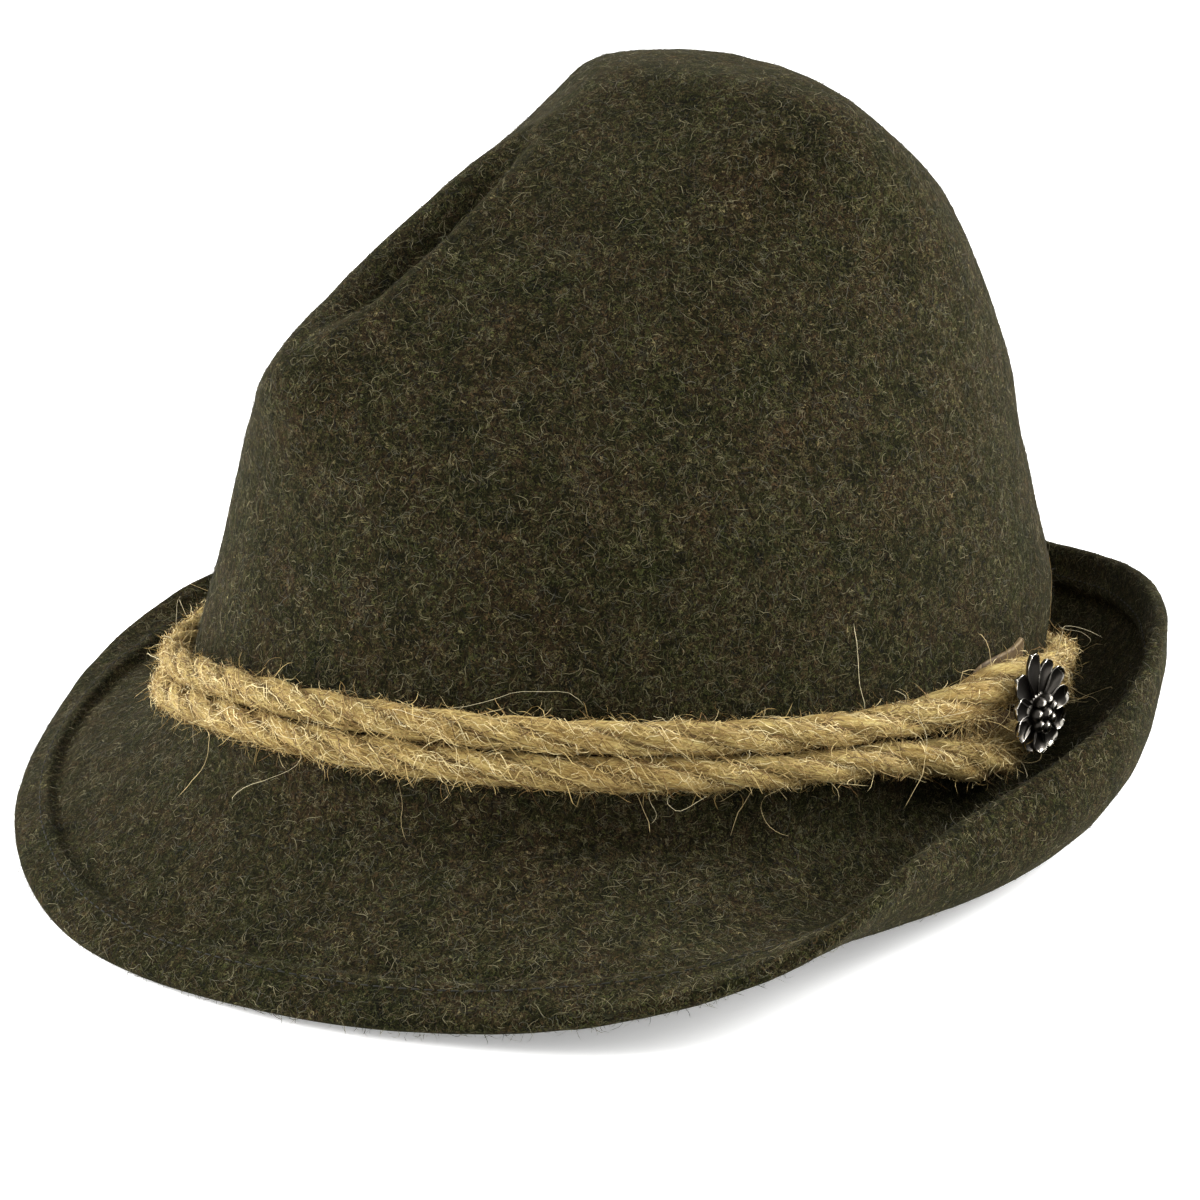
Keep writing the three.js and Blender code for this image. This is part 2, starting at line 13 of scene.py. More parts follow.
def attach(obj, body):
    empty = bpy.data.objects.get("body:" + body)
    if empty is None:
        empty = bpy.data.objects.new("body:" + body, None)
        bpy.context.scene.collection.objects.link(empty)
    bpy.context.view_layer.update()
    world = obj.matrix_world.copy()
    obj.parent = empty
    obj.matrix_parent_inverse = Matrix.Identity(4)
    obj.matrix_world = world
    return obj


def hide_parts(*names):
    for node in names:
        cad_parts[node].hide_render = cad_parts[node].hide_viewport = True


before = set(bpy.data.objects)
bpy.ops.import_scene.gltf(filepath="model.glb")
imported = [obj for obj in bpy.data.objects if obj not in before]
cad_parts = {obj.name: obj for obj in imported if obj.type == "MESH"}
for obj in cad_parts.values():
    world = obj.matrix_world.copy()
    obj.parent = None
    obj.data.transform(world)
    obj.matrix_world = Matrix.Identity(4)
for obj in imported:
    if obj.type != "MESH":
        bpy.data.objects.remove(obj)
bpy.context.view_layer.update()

MM = 0.001
UP = np.array([0.0, 0.0, 1.0])

# Camera, fitted to the photograph: where it looks, from which side, and how far off it stands
CAMERA_TARGET = (0.0, 0.0095, 0.0789)
CAMERA_DISTANCE = 0.6649
CAMERA_AZIMUTH = 53.89
CAMERA_ELEVATION = 16.77
CAMERA_ROLL = -2.24
CAMERA_LENS = 86.22
SENSOR_WIDTH = 36.0
PHOTO_SIDE = 1200
PHOTO_CENTRE_X = 632.3
PHOTO_CENTRE_Y = 437.9

# Felt
CROWN_RINGS = 25
EDGE_RING = 42
FOLD_RING = 37
STITCH_RING = 37.55
COLUMN_STEPS = 5
HOLE_REACH = 1.8 * MM
# Soft unevenness of the felt: width and height of the swells
FELT_SWELLS = ((14 * MM, 0.32 * MM), (6 * MM, 0.14 * MM))
# Wool fibres: piece, seed, number, and the rings between which they grow
FUZZ_ZONES = (
    ("felt_fuzz_crown", 11, 30000, -1, CROWN_RINGS + 1),
    ("felt_fuzz_brim", 12, 22000, CROWN_RINGS + 1, EDGE_RING + 1),
    ("felt_fuzz_under", 13, 9000, EDGE_RING + 1, EDGE_RING + 9),
)
FUZZ_LENGTH = 3.4 * MM
FUZZ_WIDTHS = (0.06, 0.11)
FUZZ_LIFT = 0.20 * MM
FUZZ_STATIONS = 5
STITCH_STEP = 2.7 * MM
STITCH_LENGTH = 2.1 * MM
THREAD_RADIUS = 0.17 * MM

# Ropes
ROPE_LAYS = 41 / 3
STRANDS = 3
STRAND_RADIUS = 2.03 * MM
STRAND_OFFSET = 1.54 * MM
ROPE_WAVES = 26
ROPE_STATIONS = 560
ROPE_SIDES = 60
# Slow bulges of each strand, and fine ridges along its fibres
BULGE_SHARE = 0.06
BULGE_RUN = 22 * MM
RIDGE_HEIGHT = 0.30 * MM
RIDGE_RUN = 6 * MM
RIDGE_WIDTH = 0.6
# How the fibres of the strands lie: millimetres for each radian round the rope, and share of the twist
LIE_GIRTH = 3.9
LIE_TWIST = 0.55
# Fibres that lie on the strands, with their shortest and greatest length and width in millimetres
LYING_COUNT = 8200
LYING_LENGTHS = (2, 8)
LYING_WIDTHS = (0.09, 0.20)
# Fibres that stand out: number, points along each and usual length
SHORT_FIBRES = (7500, 6, 3.0 * MM)
TUFT_FIBRES = (650, 6, 4.2 * MM)
LONG_FIBRES = (150, 14, 12 * MM)
STRAY_WIDTHS = (0.06, 0.12)
FIBRE_CLEARANCE = 0.25 * MM
# The ropes part this far in front of the pin, and tufts of each point to the other rope there
PARTING_TO_PIN = 12 * MM
TUFT_SPREAD = 5 * MM
TUFT_ANGLES = (1.15, -1.15)

# Pin
CLUTCH_TO_FLOWER = 15.4 * MM
FLOWER_TURN = 8.0
PETAL_REACH = 12 * MM
PETAL_WIDTH = 5.2 * MM
# Petals: degrees round from straight up, and share of the reach
PETALS = (
    (-43, 1.28), (-18, 1.32), (12, 1.0), (44, 0.95), (80, 0.85), (116, 0.85),
    (152, 0.76), (190, 0.72), (226, 0.76), (261, 0.9), (293, 1.04),
)
PETAL_START = 1.4 * MM
BEAD_RADIUS = 1.55 * MM
BEAD_RING_RADIUS = 3.1 * MM
BEAD_HEIGHT = 2.15 * MM
BEAD_COUNT = 7
# Round shapes of the pin: radius, height and polish, from one end to the other
DISC_PROFILE = (
    (0.2 * MM, 0.1 * MM, 0.0), (4.6 * MM, 0.1 * MM, 0.2), (4.7 * MM, 0.7 * MM, 0.6),
    (4.1 * MM, 1.2 * MM, 0.3), (0.2 * MM, 1.3 * MM, 0.0),
)
CLUTCH_PROFILE = (
    (0.3 * MM, -0.65 * MM, 0.2), (3.2 * MM, -0.65 * MM, 0.2), (3.9 * MM, -0.3 * MM, 0.5),
    (4.0 * MM, 0.2 * MM, 0.5), (3.7 * MM, 0.6 * MM, 0.3), (0.8 * MM, 0.6 * MM, 0.1),
    (0.8 * MM, CLUTCH_TO_FLOWER + 0.4 * MM, 0.1), (0.1 * MM, CLUTCH_TO_FLOWER + 0.4 * MM, 0.1),
)

# Stage. Lights: name, degrees round from the camera, elevation and power
LIGHTS = (("left", -94, 24, 42), ("right", 98, 27, 44))
LIGHT_DISTANCE = 1.5
LIGHT_SIZE = 0.9
FLOOR_HALF = 6.0


def unit(vectors):
    """Vectors along the last axis, made one long."""
    length = np.linalg.norm(vectors, axis=-1, keepdims=True)
    return vectors / np.maximum(length, 1e-12)


def direction(azimuth, elevation):
    """The direction from the hat to a place at an azimuth and an elevation, in degrees."""
    a, e = math.radians(azimuth), math.radians(elevation)
    return Vector((math.sin(a) * math.cos(e), -math.cos(a) * math.cos(e), math.sin(e)))


def added(name, data):
    """A new object in the scene."""
    made = bpy.data.objects.new(name, data)
    bpy.context.scene.collection.objects.link(made)
    return made


def array_mesh(name, points, faces, smooth=True):
    """A mesh object from an array of points and an array of triangles or of quads."""
    mesh = bpy.data.meshes.new(name)
    count, corners = faces.shape
    mesh.vertices.add(len(points))
    mesh.vertices.foreach_set("co", np.asarray(points, np.float32).ravel())
    mesh.loops.add(count * corners)
    mesh.loops.foreach_set("vertex_index", np.asarray(faces, np.int32).ravel())
    mesh.polygons.add(count)
    mesh.polygons.foreach_set("loop_start", np.arange(count, dtype=np.int32) * corners)
    mesh.polygons.foreach_set("use_smooth", np.full(count, smooth))
    mesh.update(calc_edges=True)
    return added(name, mesh)


def face_outward(mesh):
    """Turns the faces of a closed mesh outward."""
    edit = bmesh.new()
    edit.from_mesh(mesh)
    bmesh.ops.recalc_face_normals(edit, faces=edit.faces)
    edit.to_mesh(mesh)
    edit.free()


def numbers(items, key, width, kind=np.float32):
    """One property of all items of a mesh, as an array with a row for each item."""
    flat = np.zeros(len(items) * width, kind)
    items.foreach_get(key, flat)
    return flat.reshape(-1, width)


def points_of(mesh):
    """The places of a mesh's vertices."""
    return numbers(mesh.vertices, "co", 3).astype(float)


def normals_of(mesh):
    """The normals of a mesh's vertices."""
    return numbers(mesh.vertex_normals, "vector", 3).astype(float)


def ring_values(mesh):
    """The ring number kept at each of the felt's vertices."""
    return numbers(mesh.attributes["ring"].data, "value", 1).ravel().astype(float)


def triangles_of(mesh):
    """The vertex numbers of a mesh's triangles."""
    mesh.calc_loop_triangles()
    return numbers(mesh.loop_triangles, "vertices", 3, np.int32)


def point_attribute(mesh, name, values):
    """Keeps one number for each vertex under a name."""
    made = mesh.attributes.new(name, "FLOAT", "POINT")
    made.data.foreach_set("value", np.asarray(values, np.float32))


def dress(piece, material, slot, *nodes):
    """Gives a piece its material and its ride, and hides the solids that it stands for. The slot is not
    used.
    """
    piece.data.materials.clear()
    piece.data.materials.append(material)
    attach(piece, "root")
    if nodes:
        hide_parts(*nodes)
    return piece


# Shader building
class Shader:
    """A material and short ways to add nodes to it."""

    def __init__(self, name, **constants):
        self.material = bpy.data.materials.new(name)
        self.material.use_nodes = True
        self.tree = self.material.node_tree
        self.surface = self.tree.nodes["Principled BSDF"]
        for socket, value in constants.items():
            self.surface.inputs[socket.replace("_", " ")].default_value = value

    def add(self, kind, sockets=None, **settings):
        """A node of a kind. sockets: by name or index, each a value or another node's output."""
        made = self.tree.nodes.new("ShaderNode" + kind)
        for key, value in settings.items():
            setattr(made, key, value)
        for key, value in (sockets or {}).items():
            self.put(made.inputs[key], value)
        return made

    def put(self, socket, value):
        """Links another node's output to a socket, or sets the socket's own value."""
        if isinstance(value, bpy.types.NodeSocket):
            self.tree.links.new(value, socket)
        else:
            socket.default_value = value

    def give(self, name, value):
        """Sets or links an input of the surface."""
        self.put(self.surface.inputs[name], value)

    def place(self):
        return self.add("TexCoord").outputs["Object"]

    def stretched(self, vector, scale):
        return self.add("Mapping", {"Vector": vector, "Scale": scale}).outputs[0]

    def cloud(self, vector, size, detail=3.0, roughness=0.55, distortion=0.0):
        """Soft noise with features of a size in metres."""
        return self.add("TexNoise", {
            "Vector": vector, "Scale": 1 / size, "Detail": detail,
            "Roughness": roughness, "Distortion": distortion,
        }).outputs["Fac"]

    def maths(self, operation, *values):
        return self.add("Math", dict(enumerate(values)), operation=operation).outputs[0]

    def mixed(self, first, share, second):
        """A share of one value and the rest of another."""
        parts = (self.maths("MULTIPLY", first, share), self.maths("MULTIPLY", second, 1 - share))
        return self.maths("ADD", *parts)

    def between(self, value, low, high, to_low=0.0, to_high=1.0):
        """Maps a value from one range to another, smoothly and within its ends."""
        ends = {"From Min": low, "From Max": high, "To Min": to_low, "To Max": to_high}
        return self.add("MapRange", {"Value": value, **ends}, interpolation_type="SMOOTHSTEP").outputs[0]

    def blend(self, share, first, second, mode="MIX"):
        made = self.add("Mix", data_type="RGBA", blend_type=mode)
        for index, value in ((0, share), (6, first), (7, second)):
            self.put(made.inputs[index], value)
        return made.outputs[2]

    def ramp(self, value, stops, constant=False):
        """Colours along a value. stops: (place, colour)."""
        made = self.add("ValToRGB", {"Fac": value})
        if constant:
            made.color_ramp.interpolation = "CONSTANT"
        elements = made.color_ramp.elements
        while len(elements) < len(stops):
            elements.new(0.5)
        for element, (where, colour) in zip(elements, stops):
            element.position = where
            element.color = (*colour, 1.0)
        return made.outputs["Color"]

    def curls(self, vector, size, width, mask_size, share):
        """Thin curling lines: where a noise crosses its middle, broken up by a second noise."""
        line = self.cloud(vector, size, detail=2.0, roughness=0.6, distortion=0.9)
        near = self.maths("ABSOLUTE", self.maths("SUBTRACT", line, 0.5))
        drawn = self.between(near, width * 0.25, width, 1.0, 0.0)
        shown = self.between(self.cloud(vector, mask_size, detail=2.0), 1 - share, 1.05 - share)
        return self.maths("MULTIPLY", drawn, shown)

    def bump(self, height, distance, strength, under=None):
        sockets = {"Height": height, "Distance": distance, "Strength": strength}
        if under is not None:
            sockets["Normal"] = under
        return self.add("Bump", sockets).outputs["Normal"]


# The wool's own colours: nearly black, green, olive, brown and grey
WOOL = (
    (0.38, (0.0048, 0.0045, 0.0028)), (0.45, (0.0105, 0.0108, 0.0042)), (0.50, (0.0160, 0.0142, 0.0064)),
    (0.55, (0.0185, 0.0125, 0.0068)), (0.62, (0.0200, 0.0190, 0.0125)),
)
# Painted shade: near-black colour laid into the low spots of the fine grain, where the bump has its
# hollows
FELT_PIT_SHADE = (0.0022, 0.0020, 0.0014, 1.0)
# Curly painted fibres: size of the curls, width, size and share of the places that show them, colour
CURLS = (
    (2.0 * MM, 0.026, 1.7 * MM, 0.50, (0.060, 0.040, 0.022)),
    (1.4 * MM, 0.028, 1.3 * MM, 0.50, (0.056, 0.060, 0.022)),
    (1.7 * MM, 0.026, 1.5 * MM, 0.47, (0.098, 0.090, 0.060)),
    (1.1 * MM, 0.030, 2.0 * MM, 0.46, (0.100, 0.088, 0.044)),
    (2.4 * MM, 0.017, 2.6 * MM, 0.40, (0.190, 0.165, 0.090)),
)
# Broad patches of greener and browner wool, as shares of the wool's own colour
MOTTLE = ((0.34, (0.83, 0.89, 0.70)), (0.50, (0.89, 0.87, 0.75)), (0.66, (0.97, 0.87, 0.75)))
STREAK_LENGTH = 5 * MM
STREAK_WIDTH = 0.42 * MM
# Longer painted fibres: the direction in which they lie, their colour and how many there are
STREAKS = (
    ((0.0, 1.45, 0.2), (0.040, 0.039, 0.015), 0.20),
    ((0.0, 0.10, 1.2), (0.044, 0.031, 0.015), 0.20),
)


def felt_material():
    """Dark olive wool flecked with brown, grey and green, with fine pale curly fibres over it."""
    s = Shader(
        "felt_wool", Roughness=1.0, Specular_IOR_Level=0.03,
        Sheen_Weight=0.03, Sheen_Roughness=0.5, Sheen_Tint=(0.80, 0.76, 0.45, 1.0),
    )
    place = s.place()
    patches = s.cloud(place, 8 * MM, detail=4.0, roughness=0.62, distortion=0.7)
    flecks = s.cloud(place, 2.2 * MM, detail=4.0, roughness=0.72, distortion=0.8)
    wool = s.ramp(s.mixed(patches, 0.55, flecks), WOOL)
    grain = s.cloud(place, 0.6 * MM, detail=3.0, roughness=0.75)
    # Painted shade in the grain's hollows, darkest where the bump is lowest
    wool = s.blend(s.between(grain, 0.40, 0.56, 0.9, 0.0), wool, FELT_PIT_SHADE)
    curl = s.add("TexNoise", {"Vector": place, "Scale": 1 / (2.6 * MM), "Detail": 1.0}).outputs["Color"]
    shift = s.add("VectorMath", {0: curl, 1: (0.5, 0.5, 0.5)}, operation="SUBTRACT").outputs[0]
    sway = s.add("VectorMath", {0: shift, "Scale": 3.4 * MM}, operation="SCALE").outputs[0]
    curled = s.add("VectorMath", {0: place, 1: sway}, operation="ADD").outputs[0]
    height = s.maths("MULTIPLY", grain, 0.6)
    thick = s.between(patches, 0.40, 0.62, 0.55, 1.0)
    for turn, colour, share in STREAKS:
        sockets = {"Vector": curled, "Rotation": turn}
        turned_place = s.add("VectorRotate", sockets, rotation_type="EULER_XYZ").outputs[0]
        lying = s.stretched(turned_place, (STREAK_WIDTH / STREAK_LENGTH, 1.0, 1.0))
        line = s.cloud(lying, STREAK_WIDTH, detail=1.0)
        drawn = s.between(line, 0.78 - share * 0.62, 0.86 - share * 0.62)
        wool = s.blend(s.maths("MULTIPLY", drawn, 0.8), wool, (*colour, 1.0))
        height = s.maths("ADD", height, s.maths("MULTIPLY", drawn, 0.3))
    for step, (size, width, mask_size, share, colour) in enumerate(CURLS):
        apart = (0.31 * step, 0.17 * step, 0.23)
        moved = s.add("Mapping", {"Vector": place, "Location": apart}).outputs[0]
        line = s.curls(moved, size, width, mask_size, share)
        wool = s.blend(s.maths("MULTIPLY", line, thick), wool, (*colour, 1.0))
        height = s.maths("ADD", height, s.maths("MULTIPLY", line, 0.4))
    mottle = s.ramp(s.cloud(place, 17 * MM, detail=3.0, roughness=0.6, distortion=0.4), MOTTLE)
    s.give("Base Color", s.blend(1.0, wool, mottle, mode="MULTIPLY"))
    lumps = s.cloud(place, 3.5 * MM, detail=3.0)
    soft = s.bump(lumps, 0.5 * MM, 0.7)
    s.give("Normal", s.bump(height, 0.25 * MM, 0.9, under=soft))
    return s.material


def hair_material(name, stops, roughness):
    """Each fibre takes one colour of its own."""
    s = Shader(name, Roughness=roughness, Specular_IOR_Level=0.25)
    own = s.add("NewGeometry").outputs["Random Per Island"]
    colour = s.ramp(own, stops, constant=True)
    speck = s.between(s.cloud(s.place(), 1.5 * MM), 0.3, 0.7, 0.75, 1.15)
    grey = s.add("CombineColor", {0: speck, 1: speck, 2: speck}).outputs[0]
    s.give("Base Color", s.blend(1.0, colour, grey, mode="MULTIPLY"))
    return s.material


def rope_material():
    """Golden jute with streaks along the strands, and painted shade in the gaps between them."""
    s = Shader(
        "jute_rope", Roughness=0.85, Specular_IOR_Level=0.12,
        Sheen_Weight=0.1, Sheen_Roughness=0.4, Sheen_Tint=(1.0, 0.85, 0.55, 1.0),
    )
    lie = s.add("UVMap", uv_map="lie").outputs["UV"]
    fine, coarse = s.stretched(lie, (0.13, 1.0, 1.0)), s.stretched(lie, (0.11, 1.0, 1.0))
    streak = s.cloud(fine, 0.36 * MM, detail=4.0, roughness=0.7, distortion=1.1)
    bundle = s.cloud(coarse, 1.3 * MM, detail=2.0)
    patch = s.cloud(s.place(), 11 * MM, detail=3.0)
    colour = s.ramp(s.mixed(streak, 0.62, bundle), [
        (0.33, (0.070, 0.039, 0.010)), (0.42, (0.200, 0.128, 0.036)), (0.49, (0.35, 0.250, 0.082)),
        (0.56, (0.48, 0.365, 0.130)), (0.67, (0.62, 0.505, 0.21)),
    ])
    rusty = s.between(patch, 0.42, 0.64)
    colour = s.blend(s.maths("MULTIPLY", rusty, 0.3), colour, (0.27, 0.145, 0.036, 1.0))
    groove = s.add("Attribute", attribute_name="groove").outputs["Fac"]
    # Painted shade: the grooves between the strands are darkened by their depth
    colour = s.blend(s.between(groove, 0.35, 1.05, 0.0, 0.85), colour, (0.055, 0.029, 0.008, 1.0))
    s.give("Base Color", colour)
    soft = s.bump(bundle, 0.45 * MM, 0.8)
    s.give("Normal", s.bump(streak, 0.42 * MM, 1.0, under=soft))
    return s.material


def leather_material():
    """Smooth dark brown leather with a paler cut edge."""
    s = Shader("leaf_leather", Roughness=0.6, Specular_IOR_Level=0.16)
    place = s.place()
    grain = s.cloud(place, 0.8 * MM, detail=4.0, roughness=0.6)
    patch = s.cloud(place, 7 * MM, detail=3.0)
    colour = s.ramp(s.mixed(grain, 0.35, patch), [
        (0.34, (0.028, 0.015, 0.006)), (0.5, (0.062, 0.038, 0.015)), (0.66, (0.105, 0.070, 0.028)),
    ])
    rim = s.add("Attribute", attribute_name="rim").outputs["Fac"]
    colour = s.blend(s.between(rim, 0.35, 0.95, 0.0, 0.85), colour, (0.20, 0.145, 0.075, 1.0))
    s.give("Base Color", colour)
    s.give("Roughness", s.between(grain, 0.3, 0.7, 0.5, 0.7))
    s.give("Normal", s.bump(grain, 0.12 * MM, 0.6))
    return s.material


def silver_material():
    """Oxidised silver: nearly black in the hollows, polished on the high places, and a painted highlight
    on the top of each bead.
    """
    s = Shader("oxidised_silver", Metallic=1.0)
    # Polish on the high places, and a painted highlight on the tops of the beads
    polish_and_highlight = s.add("Attribute", attribute_name="polish_and_highlight").outputs["Fac"]
    place = s.place()
    mottle = s.cloud(place, 0.8 * MM, detail=4.0, roughness=0.65)
    uneven = s.maths("MULTIPLY", s.maths("SUBTRACT", mottle, 0.5), 0.5)
    bright = s.between(s.maths("ADD", polish_and_highlight, uneven), 0.3, 0.85)
    colour = s.blend(bright, (0.050, 0.045, 0.039, 1.0), (0.66, 0.62, 0.54, 1.0))
    s.give("Base Color", colour)
    s.give("Roughness", s.between(bright, 0.0, 1.0, 0.34, 0.18))
    s.give("Normal", s.bump(mottle, 0.06 * MM, 0.5))
    return s.material


# Felt
def welded(node):
    """A solid's mesh with its split vertices joined again."""
    edit = bmesh.new()
    edit.from_mesh(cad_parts[node].data)
    bmesh.ops.remove_doubles(edit, verts=edit.verts, dist=1e-6)
    edit.verts.index_update()
    return edit


def near_post(place, origin, axis):
    """Whether a point is on the rim of the hole that the pin's post passes through."""
    away = np.array(place) - origin
    along = away @ axis
    return abs(along) < 25 * MM and np.linalg.norm(away - along * axis) < HOLE_REACH


def ring_in_order(ring):
    """The vertices of one ring, one after another round the hat."""
    members = set(ring)
    beside = {v: [o for o in (e.other_vert(v) for e in v.link_edges) if o in members] for v in ring}
    ends = [v for v in ring if len(beside[v]) == 1]
    here = ends[0] if ends else ring[0]
    order, seen = [here], {here}
    while True:
        onward = [o for o in beside[here] if o not in seen]
        if not onward:
            return order
        here = onward[0]
        order.append(here)
        seen.add(here)


def aligned(ring, before):
    """Turns a ring's order so that each vertex follows the one before it in the same column."""
    points = np.array([v.co for v in ring])
    earlier = np.array([v.co for v in before])
    tied = np.array([[any(e.other_vert(b) is v for e in b.link_edges) for v in ring] for b in before])
    apart = np.linalg.norm(earlier[:, None] - points[None], axis=2)
    columns = np.arange(len(ring))
    best = None
    for way in (1, -1):
        for shift in columns:
            pick = (shift + way * columns) % len(ring)
            score = tied[columns, pick].sum() - apart[columns, pick].mean() / (2 * MM)
            if best is None or score > best[0]:
                best = (score, pick)
    return [ring[i] for i in best[1]]


def felt_grid():
    """The felt's own points: rings from the peak over the brim and back inside, and its two poles."""
    edit = welded("felt_body")
    _, _, _, _, origin, axis = pin_place()
    peak = max((v for v in edit.verts if len(v.link_edges) > 30), key=lambda v: v.co.z)
    seen, front, rings = {peak}, [peak], []
    while front:
        beyond = {e.other_vert(v) for v in front for e in v.link_edges} - seen
        front = [v for v in beyond if not near_post(v.co, origin, axis)]
        front.sort(key=lambda v: v.index)
        seen.update(front)
        if len(front) > 1:
            ring = ring_in_order(front)
            rings.append(aligned(ring, rings[-1]) if rings else ring)
        elif front:
            last = np.array(front[0].co)
    grid = np.array([[v.co for v in ring] for ring in rings])
    first = np.array(peak.co)
    edit.free()
    return grid, first, last


def curve_through(points, steps, before=None, after=None):
    """Smooth curves through points along the first axis, with a number of steps for each stretch.

    Without points before and after, they are closed. Slopes follow the lengths of the stretches, so
    that nothing swings out beside short ones.
    """
    closed = before is None
    ends = (points[-1:], points[:2]) if closed else (before[None], after[None])
    line = np.concatenate([ends[0], points, ends[1]])
    length = np.maximum(np.linalg.norm(np.diff(line, axis=0), axis=-1, keepdims=True), 1e-7)
    speed = np.diff(line, axis=0) / length
    slope = (speed[:-1] * length[1:] + speed[1:] * length[:-1]) / (length[:-1] + length[1:])
    made, places = [], []
    for i, count in enumerate(steps):
        start, end, span = line[i + 1], line[i + 2], length[i + 1]
        for j in range(count):
            t = j / count
            made.append(
                (2 * t**3 - 3 * t**2 + 1) * start + (t**3 - 2 * t**2 + t) * span * slope[i]
                + (3 * t**2 - 2 * t**3) * end + (t**3 - t**2) * span * slope[i + 1]
            )
            places.append(i + t)
    if not closed:
        made.append(line[len(steps) + 1])
        places.append(float(len(steps)))
    return np.array(made), np.array(places)


def ring_steps(count):
    """How many steps divide each stretch between two rings of the crown, brim, fold and inside."""
    zones = np.diff((0, CROWN_RINGS, FOLD_RING - 1, EDGE_RING + 1, count - 1))
    return np.repeat((6, 5, 4, 2), zones).tolist()


def felt_surface(name):
    """A smooth copy of the felt through all its own points, with the ring number kept at each vertex."""
    grid, first, last = felt_grid()
    rings, columns = grid.shape[:2]
    fine, _ = curve_through(grid.swapaxes(0, 1), [COLUMN_STEPS] * columns)
    fine = fine.swapaxes(0, 1)
    wide = fine.shape[1]
    half = wide // 2
    peak, end = (np.broadcast_to(pole, fine[:1].shape) for pole in (first, last))
    whole = np.concatenate([peak, fine, end])
    before, after = np.roll(fine[0], half, axis=0), np.roll(fine[-1], half, axis=0)
    sheet, places = curve_through(whole, [6] + ring_steps(rings) + [2], before, after)
    points = np.concatenate([first[None], sheet[1:-1].reshape(-1, 3), last[None]])
    rows = len(sheet) - 2
    faces = grid_faces(rows, wide, closed=True) + 1
    k = np.arange(wide)
    beyond = (k + 1) % wide
    fan = np.stack([np.zeros(wide, int), beyond + 1, k + 1], axis=1)
    far = 1 + (rows - 1) * wide
    under_fan = np.stack([np.full(wide, len(points) - 1), far + k, far + beyond], axis=1)
    ring = np.concatenate([[-1], np.repeat(places[1:-1] - 1, wide), [rings]])
    triangles = np.concatenate([
        faces[:, [0, 1, 2]], faces[:, [0, 2, 3]], fan[:, [0, 2, 1]], under_fan[:, [0, 2, 1]],
    ])
    piece = array_mesh(name, points, triangles)
    face_outward(piece.data)
    point_attribute(piece.data, "ring", ring)
    return piece


def quad_copy(node, name):
    """A copy of a solid's mesh with triangles joined to quads."""
    edit = welded(node)
    bmesh.ops.join_triangles(
        edit, faces=edit.faces, cmp_seam=False, cmp_sharp=False, cmp_uvs=False, cmp_vcols=False,
        cmp_materials=False, angle_face_threshold=math.radians(40), angle_shape_threshold=math.pi,
    )
    for edge in edit.edges:
        edge.smooth = True
    mesh = bpy.data.meshes.new(name)
    edit.to_mesh(mesh)
    edit.free()
    return added(name, mesh)


def subdivided(piece):
    """The mesh of a piece, subdivided twice."""
    smoother = piece.modifiers.new("smooth", "SUBSURF")
    smoother.levels = smoother.render_levels = 2
    whole = piece.evaluated_get(bpy.context.evaluated_depsgraph_get())
    made = bpy.data.meshes.new_from_object(whole)
    piece.modifiers.clear()
    return made


def felt_piece(material):
    """The felt body, with the soft unevenness of blocked felt."""
    piece = felt_surface("felt_hat")
    points, normals = points_of(piece.data), normals_of(piece.data)
    swell = np.zeros(len(points))
    for size, depth in FELT_SWELLS:
        swell += depth * np.array([noise.noise(Vector(p / size)) for p in points])
    swell *= np.clip(points[:, 2] / (4 * MM), 0, 1)
    points += normals * swell[:, None]
    piece.data.vertices.foreach_set("co", points.astype(np.float32).ravel())
    piece.data.update()
    return dress(piece, material, "felt", "felt_body")


def scattered(mesh, count, rng, weight):
    """Points and normals spread over a mesh by area times a weight for each triangle."""
    points, normals, faces = points_of(mesh), normals_of(mesh), triangles_of(mesh)
    corners = points[faces]
    area = np.linalg.norm(np.cross(corners[:, 1] - corners[:, 0], corners[:, 2] - corners[:, 0]), axis=1)
    chance = area * weight(faces)
    pick = rng.choice(len(faces), count, p=chance / chance.sum())
    a, b = rng.random(count), rng.random(count)
    over = a + b > 1
    a[over], b[over] = 1 - a[over], 1 - b[over]
    shares = np.stack([1 - a - b, a, b], axis=1)[:, :, None]
    return (corners[pick] * shares).sum(axis=1), unit((normals[faces[pick]] * shares).sum(axis=1))


def repeated(name, paths, lines, pattern):
    """One mesh with the same faces for every path: its two ends first, then the lines along it."""
    points = np.concatenate([paths[:, :1], paths[:, -1:], *lines], axis=1)
    first = np.arange(len(paths)) * points.shape[1]
    faces = (np.array(pattern)[None] + first[:, None, None]).reshape(-1, 3)
    return array_mesh(name, points.reshape(-1, 3), faces)


def ribbons(name, paths, facing, width):
    """Thin pointed ribbons along paths, each with its flat side towards facing."""
    along = unit(np.gradient(paths, axis=1))
    side = unit(np.cross(along, facing[:, None, :] if facing.ndim == 2 else facing))
    half = side[:, 1:-1] * (width[:, None, None] / 2)
    inner = paths.shape[1] - 2
    lefts, rights = 2 + np.arange(inner), 2 + inner + np.arange(inner)
    pattern = [(0, rights[0], lefts[0])]
    for k in range(inner - 1):
        pattern += [(lefts[k], rights[k], rights[k + 1]), (lefts[k], rights[k + 1], lefts[k + 1])]
    pattern.append((lefts[-1], rights[-1], 1))
    return repeated(name, paths, [paths[:, 1:-1] + half, paths[:, 1:-1] - half], pattern)


